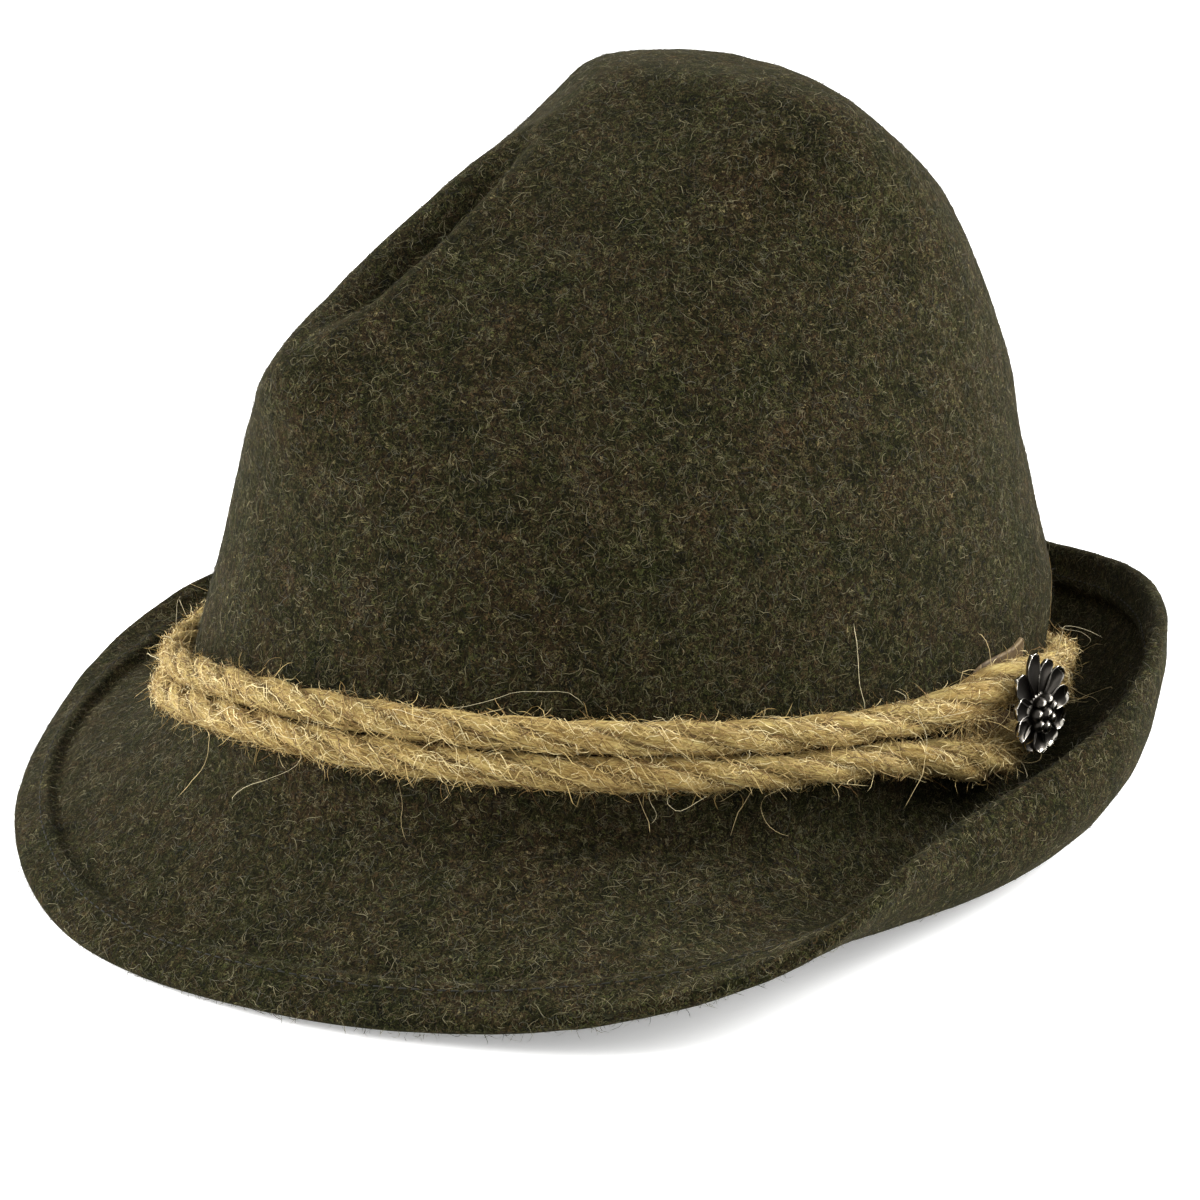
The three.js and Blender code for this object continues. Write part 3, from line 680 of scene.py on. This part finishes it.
def threads(name, paths, radius, sides=3):
    """Thin round threads along paths, pointed at both ends."""
    along = unit(np.gradient(paths, axis=1))
    across = unit(np.cross(along, np.array([0.31, 0.52, 0.79])))
    third = np.cross(along, across)
    radius = np.broadcast_to(radius, len(paths))[:, None, None]
    lines = []
    for k in range(sides):
        angle = 2 * math.pi * k / sides
        shift = across * math.cos(angle) + third * math.sin(angle)
        lines.append(paths[:, 1:-1] + shift[:, 1:-1] * radius)
    inner = paths.shape[1] - 2
    pattern = []
    for k in range(sides):
        here, there = 2 + k * inner, 2 + ((k + 1) % sides) * inner
        pattern.append((0, there, here))
        for j in range(inner - 1):
            corner = there + j + 1
            pattern += [(here + j, there + j, corner), (here + j, corner, here + j + 1)]
        pattern.append((here + inner - 1, there + inner - 1, 1))
    return repeated(name, paths, lines, pattern)


def fuzz_paths(roots, normals, rng):
    """Curly fibres that start in a surface, wander over it and bow out of it."""
    count = len(roots)
    heading = unit(np.cross(normals, rng.normal(size=(count, 3))))
    size = FUZZ_LENGTH * rng.uniform(0.5, 1.4, count)
    step = (size / (FUZZ_STATIONS - 1))[:, None]
    bend = rng.normal(0, 0.45, count)
    paths = np.zeros((count, FUZZ_STATIONS, 3))
    paths[:, 0] = roots
    for k in range(1, FUZZ_STATIONS):
        paths[:, k] = paths[:, k - 1] + heading * step
        turn = (bend + rng.normal(0, 0.42, count))[:, None]
        heading = heading * np.cos(turn) + np.cross(normals, heading) * np.sin(turn)
    share = np.linspace(0, 1, FUZZ_STATIONS)[None, :]
    rise = FUZZ_LIFT * rng.exponential(1.0, count)
    loose = rng.random(count) < 0.35
    bow = rise[:, None] * np.where(loose[:, None], share**1.3 * 1.4, np.sin(math.pi * share))
    above = bow - 0.04 * MM + 0.12 * MM * share
    return paths + normals[:, None] * above[..., None]


def felt_fuzz(felt, material):
    """Short wool fibres over the crown, the upper side of the brim and its underside."""
    mesh = felt.data
    ring = ring_values(mesh)

    def within(low, high):
        def weight(faces):
            middle = ring[faces].mean(axis=1)
            return ((middle >= low) & (middle < high)) * 1.0
        return weight

    for name, seed, count, low, high in FUZZ_ZONES:
        rng = np.random.default_rng(seed)
        roots, normals = scattered(mesh, count, rng, within(low, high))
        paths = fuzz_paths(roots, normals, rng)
        facing = unit(normals + rng.normal(0, 0.35, normals.shape))
        piece = ribbons(name, paths, facing, rng.uniform(*FUZZ_WIDTHS, count) * MM)
        dress(piece, material, "felt")


def ring_line(mesh, wanted):
    """The closed line round the hat where the ring number passes a value, and its normals."""
    points, normals, ring = points_of(mesh), normals_of(mesh), ring_values(mesh)
    a, b = numbers(mesh.edges, "vertices", 2, np.int32).T
    crossed = (ring[a] - wanted) * (ring[b] - wanted) < 0
    a, b = a[crossed], b[crossed]
    share = ((wanted - ring[a]) / (ring[b] - ring[a]))[:, None]
    found = points[a] * (1 - share) + points[b] * share
    out = unit(normals[a] * (1 - share) + normals[b] * share)
    order = np.argsort(np.arctan2(found[:, 0], -found[:, 1]))
    return found[order], out[order]


def evenly(points, extra, step):
    """A closed line of points, and something kept with each, at an even step."""
    closed = np.vstack([points, points[:1]])
    kept = np.vstack([extra, extra[:1]])
    travelled = np.concatenate([[0], np.cumsum(np.linalg.norm(np.diff(closed, axis=0), axis=1))])
    count = round(travelled[-1] / step)
    goal = np.arange(count) * travelled[-1] / count

    def at_goal(values):
        return np.stack([np.interp(goal, travelled, column) for column in values.T], axis=1)

    return at_goal(closed), unit(at_goal(kept))


def stitches(felt, material):
    """The seam that holds the folded edge down: short dark stitches round the brim."""
    line, out = ring_line(felt.data, STITCH_RING)
    line, out = evenly(line, out, 0.9 * MM)
    for _ in range(4):
        line = (np.roll(line, 1, 0) + 2 * line + np.roll(line, -1, 0)) / 4
    line, out = evenly(line, out, STITCH_STEP)
    along = unit(np.roll(line, -1, 0) - np.roll(line, 1, 0))
    share = np.linspace(-0.5, 0.5, 7)[None, :]
    bow = 0.16 * MM * np.cos(math.pi * share) - 0.10 * MM
    reach = STITCH_LENGTH * share
    paths = line[:, None] + along[:, None] * reach[..., None] + out[:, None] * bow[..., None]
    piece = threads("brim_stitches", paths, THREAD_RADIUS, sides=6)
    return dress(piece, material, "felt")


# Ropes
def rope_route(node):
    """The middle line of a rope and its thickness (1 is usual), as smooth functions of the turn."""
    points = points_of(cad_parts[node].data)
    low, high = points.min(axis=0), points.max(axis=0)
    centre, half = (low + high) / 2, (high - low) / 2
    turn = np.arctan2((points[:, 0] - centre[0]) / half[0], -(points[:, 1] - centre[1]) / half[1])

    def basis(turns):
        waves = turns[:, None] * np.arange(1, ROPE_WAVES + 1)
        return np.concatenate([np.ones((len(turns), 1)), np.cos(waves), np.sin(waves)], axis=1)

    known = basis(turn)
    weights, *_ = np.linalg.lstsq(known, points, rcond=None)
    reach = np.linalg.norm(points - known @ weights, axis=1)
    reach_weights, *_ = np.linalg.lstsq(known, reach / np.median(reach), rcond=None)
    return lambda turns: basis(turns) @ weights, lambda turns: basis(turns) @ reach_weights


def strand_profile(angle, bulge):
    """Distance from the rope's middle to its strands' skin. bulge: each strand's own thickness."""
    best = np.zeros_like(angle)
    for k in range(STRANDS):
        off = (angle - 2 * math.pi * k / STRANDS + math.pi) % (2 * math.pi) - math.pi
        radius = STRAND_RADIUS * (1 + bulge[k])
        reach = STRAND_OFFSET * np.cos(off) + np.sqrt(
            np.maximum(radius**2 - (STRAND_OFFSET * np.sin(off)) ** 2, 1e-12)
        )
        best = np.maximum(best, reach)
    return best


def rope_skin(route, thickness, seed):
    """A rope's stations with their directions, and how far out its skin lies round each."""
    turn = 2 * math.pi * np.arange(ROPE_STATIONS) / ROPE_STATIONS
    centre = route(turn)
    along = unit(np.roll(centre, -1, 0) - np.roll(centre, 1, 0))
    outward = unit(np.cross(along, UP))
    thick = thickness(turn)
    swollen = np.maximum(1, thick / np.median(thick))[:, None]
    length = np.linalg.norm(np.roll(centre, -1, 0) - centre, axis=1).sum()
    twist = -ROPE_LAYS * turn
    angle = 2 * math.pi * np.arange(ROPE_SIDES) / ROPE_SIDES
    run = length * turn / (2 * math.pi)
    to_end = np.minimum(run, length - run)
    bulge = np.array([
        [BULGE_SHARE * noise.noise(Vector((place / BULGE_RUN, 3.7 * k, seed))) for place in run]
        for k in range(STRANDS)
    ])
    bulge *= np.minimum(1, to_end / (30 * MM))
    radius = strand_profile(angle[None, :] + 0 * turn[:, None], bulge[:, :, None])
    lie = (angle[None, :] + LIE_TWIST * twist[:, None]) * LIE_GIRTH
    ridge = np.array([
        [noise.noise(Vector((x / RIDGE_WIDTH, place / RIDGE_RUN, seed + 5.0))) for x in row]
        for row, place in zip(lie, run)
    ])
    calm = np.minimum(1, to_end / (12 * MM))[:, None]
    return {
        "centre": centre, "along": along, "outward": outward, "upward": np.cross(outward, along),
        "twist": twist, "angle": angle, "run": run, "length": length, "lie": lie, "swollen": swollen,
        "radius": radius * swollen + RIDGE_HEIGHT * ridge * calm,
    }


def rope_piece(node, name, seed, material):
    """One jute rope of three strands, closed round the crown."""
    skin = rope_skin(*rope_route(node), seed)
    place = (skin["angle"][None, :] + skin["twist"][:, None])[..., None]
    way = skin["outward"][:, None] * np.cos(place) + skin["upward"][:, None] * np.sin(place)
    points = (skin["centre"][:, None] + way * skin["radius"][..., None]).reshape(-1, 3)
    # After the whole way round, the strands meet one another a third of a turn further on.
    shift = round(ROPE_LAYS * ROPE_SIDES) % ROPE_SIDES
    i, k = np.meshgrid(np.arange(ROPE_STATIONS), np.arange(ROPE_SIDES), indexing="ij")

    def number(row, column):
        moved = column - np.where(row >= ROPE_STATIONS, shift, 0)
        return (row % ROPE_STATIONS) * ROPE_SIDES + moved % ROPE_SIDES

    faces = [number(i, k), number(i + 1, k), number(i + 1, k + 1), number(i, k + 1)]
    piece = array_mesh(name, points, np.stack(faces, axis=-1).reshape(-1, 4))
    face_outward(piece.data)
    # Depth of the grooves between the strands, which the jute's material turns into painted shade
    outermost = STRAND_RADIUS + STRAND_OFFSET
    sideways = STRAND_OFFSET * math.sin(math.pi / 3)
    deepest = STRAND_OFFSET * 0.5 + math.sqrt(STRAND_RADIUS**2 - sideways**2)
    depth = (outermost - skin["radius"] / skin["swollen"]) / (outermost - deepest)
    point_attribute(piece.data, "groove", np.clip(depth, 0, 1.2).ravel())
    lay_uv(piece.data, skin)
    dress(piece, material, "jute", node)
    return skin


def lay_uv(mesh, skin):
    """A map in metres along the rope and across its fibres, for the streaks."""
    row, column = np.divmod(numbers(mesh.loops, "vertex_index", 1, np.int32).ravel(), ROPE_SIDES)
    quads = row.reshape(-1, 4)
    far = (quads.max(axis=1) - quads.min(axis=1)) > 1
    run = skin["run"][row].reshape(-1, 4).copy()
    run[far] = np.where(quads[far] == 0, skin["length"], run[far])
    lie = skin["lie"][row, column].reshape(-1, 4) * MM
    whole = 2 * math.pi * LIE_GIRTH * MM
    lie = lie - np.round((lie - lie[:, :1]) / whole) * whole
    both = np.stack([run.ravel(), lie.ravel()], axis=1)
    mesh.uv_layers.new(name="lie").data.foreach_set("uv", both.astype(np.float32).ravel())


def on_skin(skin, run, angle, above):
    """Points at a distance along a rope and an angle round it, a little above the skin."""
    row = (run / skin["length"] * ROPE_STATIONS) % ROPE_STATIONS
    low = np.floor(row).astype(int) % ROPE_STATIONS
    high = (low + 1) % ROPE_STATIONS
    t = (row - np.floor(row))[..., None]

    def pick(name):
        return skin[name][low] * (1 - t) + skin[name][high] * t

    turned = (angle - skin["twist"][low]) % (2 * math.pi)
    column = np.round(turned / (2 * math.pi) * ROPE_SIDES).astype(int) % ROPE_SIDES
    radius = skin["radius"][low, column] + above
    way = pick("outward") * np.cos(angle)[..., None] + pick("upward") * np.sin(angle)[..., None]
    return pick("centre") + way * radius[..., None], way


def rope_lying(skin, name, seed, material):
    """Fibres that lie along the strands."""
    rng = np.random.default_rng(seed)
    count, stations = LYING_COUNT, 6
    start = rng.uniform(0, skin["length"], count)
    size = rng.uniform(*LYING_LENGTHS, count) * MM
    share = np.linspace(0, 1, stations)[None, :]
    run = start[:, None] + size[:, None] * share
    climb = -2 * math.pi * ROPE_LAYS / skin["length"] * rng.normal(0.75, 0.55, count)
    wander = np.cumsum(rng.normal(0, 0.27, (count, stations)), axis=1)
    angle = rng.uniform(-2.1, 2.1, count)[:, None] + climb[:, None] * size[:, None] * share + wander
    bow = rng.exponential(0.50, count)[:, None] * np.sin(math.pi * share)
    above = rng.uniform(-0.05, 0.05, count)[:, None] + bow
    paths, way = on_skin(skin, run, angle, above * MM)
    piece = ribbons(name, paths, way, rng.uniform(*LYING_WIDTHS, count) * MM)
    dress(piece, material, "jute")


def beside_pin(skin):
    """How far along a rope the ropes part, just in front of the pin."""
    pin = points_of(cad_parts["edelweiss_pin"].data).mean(axis=0)
    nearest = np.argmin(np.linalg.norm(skin["centre"] - pin, axis=1))
    return skin["run"][nearest] - PARTING_TO_PIN


def keep_off_felt(path, felt_tree):
    """Moves a fibre's points so that it lies on the felt where it would go into it."""
    for k in range(1, len(path)):
        step = Vector(path[k] - path[k - 1])
        spot, normal, _, _ = felt_tree.ray_cast(Vector(path[k - 1]), step.normalized(), step.length)
        if spot is None:
            spot, normal, _, _ = felt_tree.find_nearest(Vector(path[k]), 8 * MM)
        if spot is None:
            continue
        height = (Vector(path[k]) - spot).dot(normal)
        if height < FIBRE_CLEARANCE:
            path[k] += np.array(normal) * (FIBRE_CLEARANCE - height)


def rope_stray(skin, name, seed, kind, felt_tree, material, flat=True, tuft=None):
    """Curly fibres that stand out of a rope. Where they reach the felt, they lie on it.

    kind: number, points along each and usual length. tuft: where round the rope a tuft beside the pin is.
    """
    count, stations, length = kind
    rng = np.random.default_rng(seed)
    run = rng.uniform(0, skin["length"], count)
    angle = rng.uniform(-2.3, 2.3, count)
    if tuft is not None:
        run = rng.normal(beside_pin(skin), TUFT_SPREAD, count) % skin["length"]
        angle = rng.normal(tuft, 0.45, count)
    root, way = on_skin(skin, run, angle, np.full(count, -0.15 * MM))
    row = (run / skin["length"] * ROPE_STATIONS).astype(int) % ROPE_STATIONS
    along = skin["along"][row] * np.where(rng.random(count) < 0.5, -1, 1)[:, None]
    lean = rng.uniform(0.5, 1.2, count)[:, None]
    heading = unit(along * lean + way * rng.uniform(0.12, 0.6, count)[:, None])
    size = (length * (0.35 + rng.exponential(0.65, count))).clip(length * 0.35, length * 2.6)
    step = (size / (stations - 1))[:, None]
    curl = rng.normal(0, 0.20, (count, 3))
    paths = np.zeros((count, stations, 3))
    paths[:, 0] = root
    for k in range(1, stations):
        paths[:, k] = paths[:, k - 1] + heading * step
        curl = curl * 0.75 + rng.normal(0, 0.20, (count, 3))
        heading = unit(heading + curl + np.array([0, 0, -0.02]))
    for path in paths:
        keep_off_felt(path, felt_tree)
    above_floor = paths[:, :, 2].min(axis=1) > 0
    paths = paths[above_floor]
    width = (rng.uniform(*STRAY_WIDTHS, count) * MM)[above_floor]
    facing = unit(rng.normal(size=(count, 3)))[above_floor]
    piece = ribbons(name, paths, facing, width) if flat else threads(name, paths, width / 2)
    dress(piece, material, "jute")


# Leaf
def leaf_piece(material):
    """The leather leaf, with a rounded cut edge and a paler rim."""
    piece = quad_copy("leather_leaf", "leather_leaf_skin")
    edit = bmesh.new()
    edit.from_mesh(piece.data)
    sharp = [e for e in edit.edges if len(e.link_faces) == 2 and e.calc_face_angle(0) > math.radians(50)]
    rim = [np.array(e.verts[0].co * (1 - t) + e.verts[1].co * t) for e in sharp for t in (0, 0.33, 0.67)]
    edit.free()
    piece.data = subdivided(piece)
    piece.data.shade_smooth()
    known = KDTree(len(rim))
    for index, spot in enumerate(rim):
        known.insert(spot, index)
    known.balance()
    away = np.array([known.find(v.co)[2] for v in piece.data.vertices])
    point_attribute(piece.data, "rim", np.exp(-((away / (0.75 * MM)) ** 2)))
    return dress(piece, material, "leaf_leather", "leather_leaf")


# Pin
def pin_place():
    """The middle of the flower's back and its sideways, upward and outward directions."""
    points = points_of(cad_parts["edelweiss_pin"].data)
    outward = unit(points.mean(axis=0) * np.array([1.0, 1.0, 0.0]))
    for _ in range(3):
        along = points @ outward
        clutch = points[along < along.min() + 1.6 * MM]
        middle = (clutch.min(axis=0) + clutch.max(axis=0)) / 2
        normal = np.linalg.svd(clutch - clutch.mean(axis=0), full_matrices=False)[2][2]
        outward = normal * np.sign(normal @ outward)
    side = unit(np.cross(UP, outward))
    up = np.cross(outward, side)
    seat = middle + outward * CLUTCH_TO_FLOWER
    turn = math.radians(-FLOWER_TURN)
    turned_out = outward * math.cos(turn) + side * math.sin(turn)
    turned_side = side * math.cos(turn) - outward * math.sin(turn)
    return seat, turned_side, up, turned_out, middle, outward


def grid_faces(rows, columns, closed=False):
    """Quads between rows of points."""
    i, k = np.meshgrid(np.arange(rows - 1), np.arange(columns if closed else columns - 1), indexing="ij")
    here, beside = i * columns + k, i * columns + (k + 1) % columns
    return np.stack([here, beside, beside + columns, here + columns], axis=-1).reshape(-1, 4)


def petal_shape(turn, reach, index):
    """One spoon-shaped petal with raised rims and an upturned tip, as points, faces and polish."""
    rows, columns = 26, 17
    length = PETAL_REACH * reach
    spread = np.sin(np.linspace(-0.5, 0.5, rows) * math.pi * 0.96)
    u = (spread / 2 / math.sin(math.pi * 0.48) + 0.5)[:, None]
    v = np.sin(np.linspace(-0.5, 0.5, columns) * math.pi)[None, :]
    swell = np.clip(u / 0.72, 0, 1)
    wide = 0.46 + 0.54 * swell**2 * (3 - 2 * swell)
    tip = np.sqrt(np.clip(1 - ((u - 0.74) / 0.26).clip(0, 1) ** 2.3, 0, 1))
    half = PETAL_WIDTH / 2 * wide * np.maximum(tip, 0.05)
    along = PETAL_START + (length - PETAL_START) * u + 0 * v
    across = half * v
    curl = ((u - 0.68) / 0.32).clip(0, 1) ** 2
    rise = 0.5 * MM + 0.8 * MM * u**1.5 * (0.8 + 0.4 * math.sin(index * 2.1)) + 0.8 * MM * curl
    rim = 0.95 * MM * np.abs(v) ** 2.6 * np.minimum(1, 0.25 + u * 2) * (0.35 + 0.65 * tip)
    top = rise + rim
    under = top - (0.18 + 0.45 * np.sqrt(1 - v**2)) * MM
    upper = np.stack([across, along, top], axis=-1)
    lower = np.stack([across, along, under], axis=-1)[:, ::-1]
    points = np.concatenate([upper, lower], axis=1).reshape(-1, 3)
    faces = grid_faces(rows, 2 * columns, closed=True)
    rubbed = np.abs(v) ** 7 * (0.15 + 0.65 * u) + 0.9 * ((u - 0.86) / 0.10).clip(0, 1) ** 2
    polish_and_highlight = np.clip(np.concatenate([rubbed, rubbed[:, ::-1] * 0.5], axis=1), 0, 1).ravel()
    angle = -math.radians(turn)
    spin = np.array(Matrix.Rotation(angle, 3, "Z"))
    ends = [np.arange(2 * columns)[::-1], (rows - 1) * 2 * columns + np.arange(2 * columns)]
    return points @ spin.T, faces, polish_and_highlight, ends


def ball(centre, radius, squash=1.0, rings=14, sides=22):
    """A round bead, as points, faces and polish; its polish is a bright cap on top, a painted highlight.
    """
    polar = np.linspace(0.02, math.pi - 0.02, rings)[:, None]
    around = (2 * math.pi * np.arange(sides) / sides)[None, :]
    points = np.stack([
        radius * np.sin(polar) * np.cos(around),
        radius * np.sin(polar) * np.sin(around),
        radius * squash * np.cos(polar) + 0 * around,
    ], axis=-1).reshape(-1, 3) + np.asarray(centre)
    # Painted highlight: a bright cap on the outward top of each bead
    polish_and_highlight = (((np.cos(polar) - 0.70) / 0.22).clip(0, 1) + 0 * around).ravel()
    ends = [np.arange(sides), (rings - 1) * sides + np.arange(sides)[::-1]]
    return points, grid_faces(rings, sides, closed=True)[:, ::-1], polish_and_highlight, ends


def turned(profile, sides=40):
    """A shape turned about the pin's axis. profile: radius, height and polish, end to end."""
    profile = np.array(profile)
    around = (2 * math.pi * np.arange(sides) / sides)[None, :]
    points = np.stack([
        profile[:, :1] * np.cos(around), profile[:, :1] * np.sin(around), profile[:, 1:2] + 0 * around,
    ], axis=-1).reshape(-1, 3)
    ends = [np.arange(sides)[::-1], (len(profile) - 1) * sides + np.arange(sides)]
    return points, grid_faces(len(profile), sides, closed=True), np.repeat(profile[:, 2], sides), ends


def solid_piece(name, shapes, frames):
    """Joins shapes into one piece. frames: the origin and the three directions of each shape."""
    edit = bmesh.new()
    layer = edit.verts.layers.float.new("polish_and_highlight")
    for (points, faces, polish_and_highlight, ends), (origin, side, up, out) in zip(shapes, frames):
        world = origin + points @ np.stack([side, up, out])
        verts = [edit.verts.new(p) for p in world]
        for v, value in zip(verts, polish_and_highlight):
            v[layer] = float(value)
        fresh = [edit.faces.new([verts[i] for i in quad]) for quad in faces]
        fresh += [edit.faces.new([verts[i] for i in loop]) for loop in ends]
        bmesh.ops.recalc_face_normals(edit, faces=fresh)
    for face in edit.faces:
        face.smooth = True
    mesh = bpy.data.meshes.new(name)
    edit.to_mesh(mesh)
    edit.free()
    return added(name, mesh)


def pin_piece(material):
    """The edelweiss with its beads, its post and the clutch inside the crown."""
    seat, side, up, out, clutch_middle, straight_out = pin_place()
    shapes = [petal_shape(turn, reach, i) for i, (turn, reach) in enumerate(PETALS)]
    shapes.append(turned(DISC_PROFILE))
    shapes.append(ball((0, 0, BEAD_HEIGHT + 0.45 * MM), BEAD_RADIUS * 1.05))
    for i in range(BEAD_COUNT):
        angle = 2 * math.pi * (i + 0.3) / BEAD_COUNT
        spot = (BEAD_RING_RADIUS * math.cos(angle), BEAD_RING_RADIUS * math.sin(angle), BEAD_HEIGHT)
        shapes.append(ball(spot, BEAD_RADIUS * (1 + 0.05 * math.sin(3 * i))))
    frames = [(seat, side, up, out)] * len(shapes)
    side_straight = unit(np.cross(UP, straight_out))
    up_straight = np.cross(straight_out, side_straight)
    shapes.append(turned(CLUTCH_PROFILE))
    frames.append((clutch_middle, side_straight, up_straight, straight_out))
    piece = solid_piece("edelweiss_flower", shapes, frames)
    return dress(piece, material, "pin_metal", "edelweiss_pin")


# Stage
def make_camera():
    """The camera, with the photograph's view and framing."""
    azimuth, roll = math.radians(CAMERA_AZIMUTH), math.radians(CAMERA_ROLL)
    back = direction(CAMERA_AZIMUTH, CAMERA_ELEVATION)
    level = Vector((math.cos(azimuth), math.sin(azimuth), 0))
    right = level * math.cos(roll) + back.cross(level) * math.sin(roll)
    data = bpy.data.cameras.new("camera")
    data.lens, data.sensor_width = CAMERA_LENS, SENSOR_WIDTH
    data.shift_x = (PHOTO_SIDE / 2 - PHOTO_CENTRE_X) / PHOTO_SIDE
    data.shift_y = (PHOTO_CENTRE_Y - PHOTO_SIDE / 2) / PHOTO_SIDE
    data.clip_start, data.clip_end = 0.01, 50
    camera = added("camera", data)
    turn = Matrix((right, back.cross(right), back)).transposed().to_4x4()
    camera.matrix_world = Matrix.Translation(Vector(CAMERA_TARGET) + back * CAMERA_DISTANCE) @ turn
    bpy.context.scene.camera = camera


def soft_light(name, azimuth, elevation, power):
    """A square light that looks at the middle of the hat from a direction."""
    back = direction(azimuth, elevation)
    data = bpy.data.lights.new(name, "AREA")
    data.size, data.energy = LIGHT_SIZE, power
    light = added(name, data)
    light.location = Vector(CAMERA_TARGET) + back * LIGHT_DISTANCE
    light.rotation_mode = "QUATERNION"
    light.rotation_quaternion = (-back).to_track_quat("-Z", "Y")


def make_stage():
    """A plain pale floor, a white surround and soft studio lights."""
    bpy.context.scene.view_settings.view_transform = "Standard"
    world = bpy.data.worlds.new("surround")
    world.use_nodes = True
    sky = world.node_tree.nodes["Background"]
    sky.inputs["Color"].default_value = (1.0, 1.0, 1.0, 1.0)
    sky.inputs["Strength"].default_value = 1.0
    bpy.context.scene.world = world
    shader = Shader(
        "pale_floor", Base_Color=(0.93, 0.93, 0.92, 1.0), Roughness=0.9, Specular_IOR_Level=0.1,
        Emission_Color=(1.0, 1.0, 1.0, 1.0), Emission_Strength=0.3,
    )
    corners = FLOOR_HALF * np.array([(-1, -1, 0), (1, -1, 0), (1, 1, 0), (-1, 1, 0)])
    floor = array_mesh("floor", corners, np.array([[0, 1, 2, 3]]), smooth=False)
    floor.data.materials.append(shader.material)
    for name, turn, elevation, power in LIGHTS:
        soft_light(name, CAMERA_AZIMUTH + turn, elevation, power)


# Putting it together
make_camera()
make_stage()
felt = felt_piece(felt_material())
wool = hair_material("wool_fibres", [
    (0.0, (0.006, 0.006, 0.004)), (0.22, (0.036, 0.038, 0.014)), (0.40, (0.044, 0.030, 0.015)),
    (0.54, (0.064, 0.060, 0.040)), (0.70, (0.090, 0.080, 0.038)), (0.88, (0.150, 0.132, 0.072)),
], 0.9)
felt_fuzz(felt, wool)
thread = hair_material("seam_thread", [(0.0, (0.010, 0.010, 0.006)), (0.6, (0.015, 0.014, 0.009))], 0.75)
stitches(felt, thread)
felt_tree = BVHTree.FromPolygons(
    [Vector(p) for p in points_of(felt.data)], [list(t) for t in triangles_of(felt.data)]
)
jute = rope_material()
jute_fibres = hair_material("jute_fibres", [
    (0.0, (0.16, 0.090, 0.026)), (0.20, (0.34, 0.230, 0.080)), (0.48, (0.48, 0.355, 0.140)),
    (0.76, (0.66, 0.540, 0.275)), (0.93, (0.10, 0.052, 0.016)),
], 0.7)
stray_fibres = hair_material("stray_jute_fibres", [
    (0.0, (0.60, 0.470, 0.230)), (0.5, (0.80, 0.700, 0.440)), (0.85, (0.40, 0.270, 0.100)),
], 0.7)
for order, node in enumerate(("rope_lower", "rope_upper")):
    rope = rope_piece(node, node + "_jute", 20 + order, jute)
    rope_lying(rope, node + "_lying_fibres", 30 + order, jute_fibres)
    rope_stray(rope, node + "_short_fibres", 40 + order, SHORT_FIBRES, felt_tree, jute_fibres)
    rope_stray(
        rope, node + "_tuft", 60 + order, TUFT_FIBRES, felt_tree, jute_fibres, tuft=TUFT_ANGLES[order],
    )
    rope_stray(rope, node + "_long_fibres", 50 + order, LONG_FIBRES, felt_tree, stray_fibres, flat=False)
leaf_piece(leather_material())
pin_piece(silver_material())
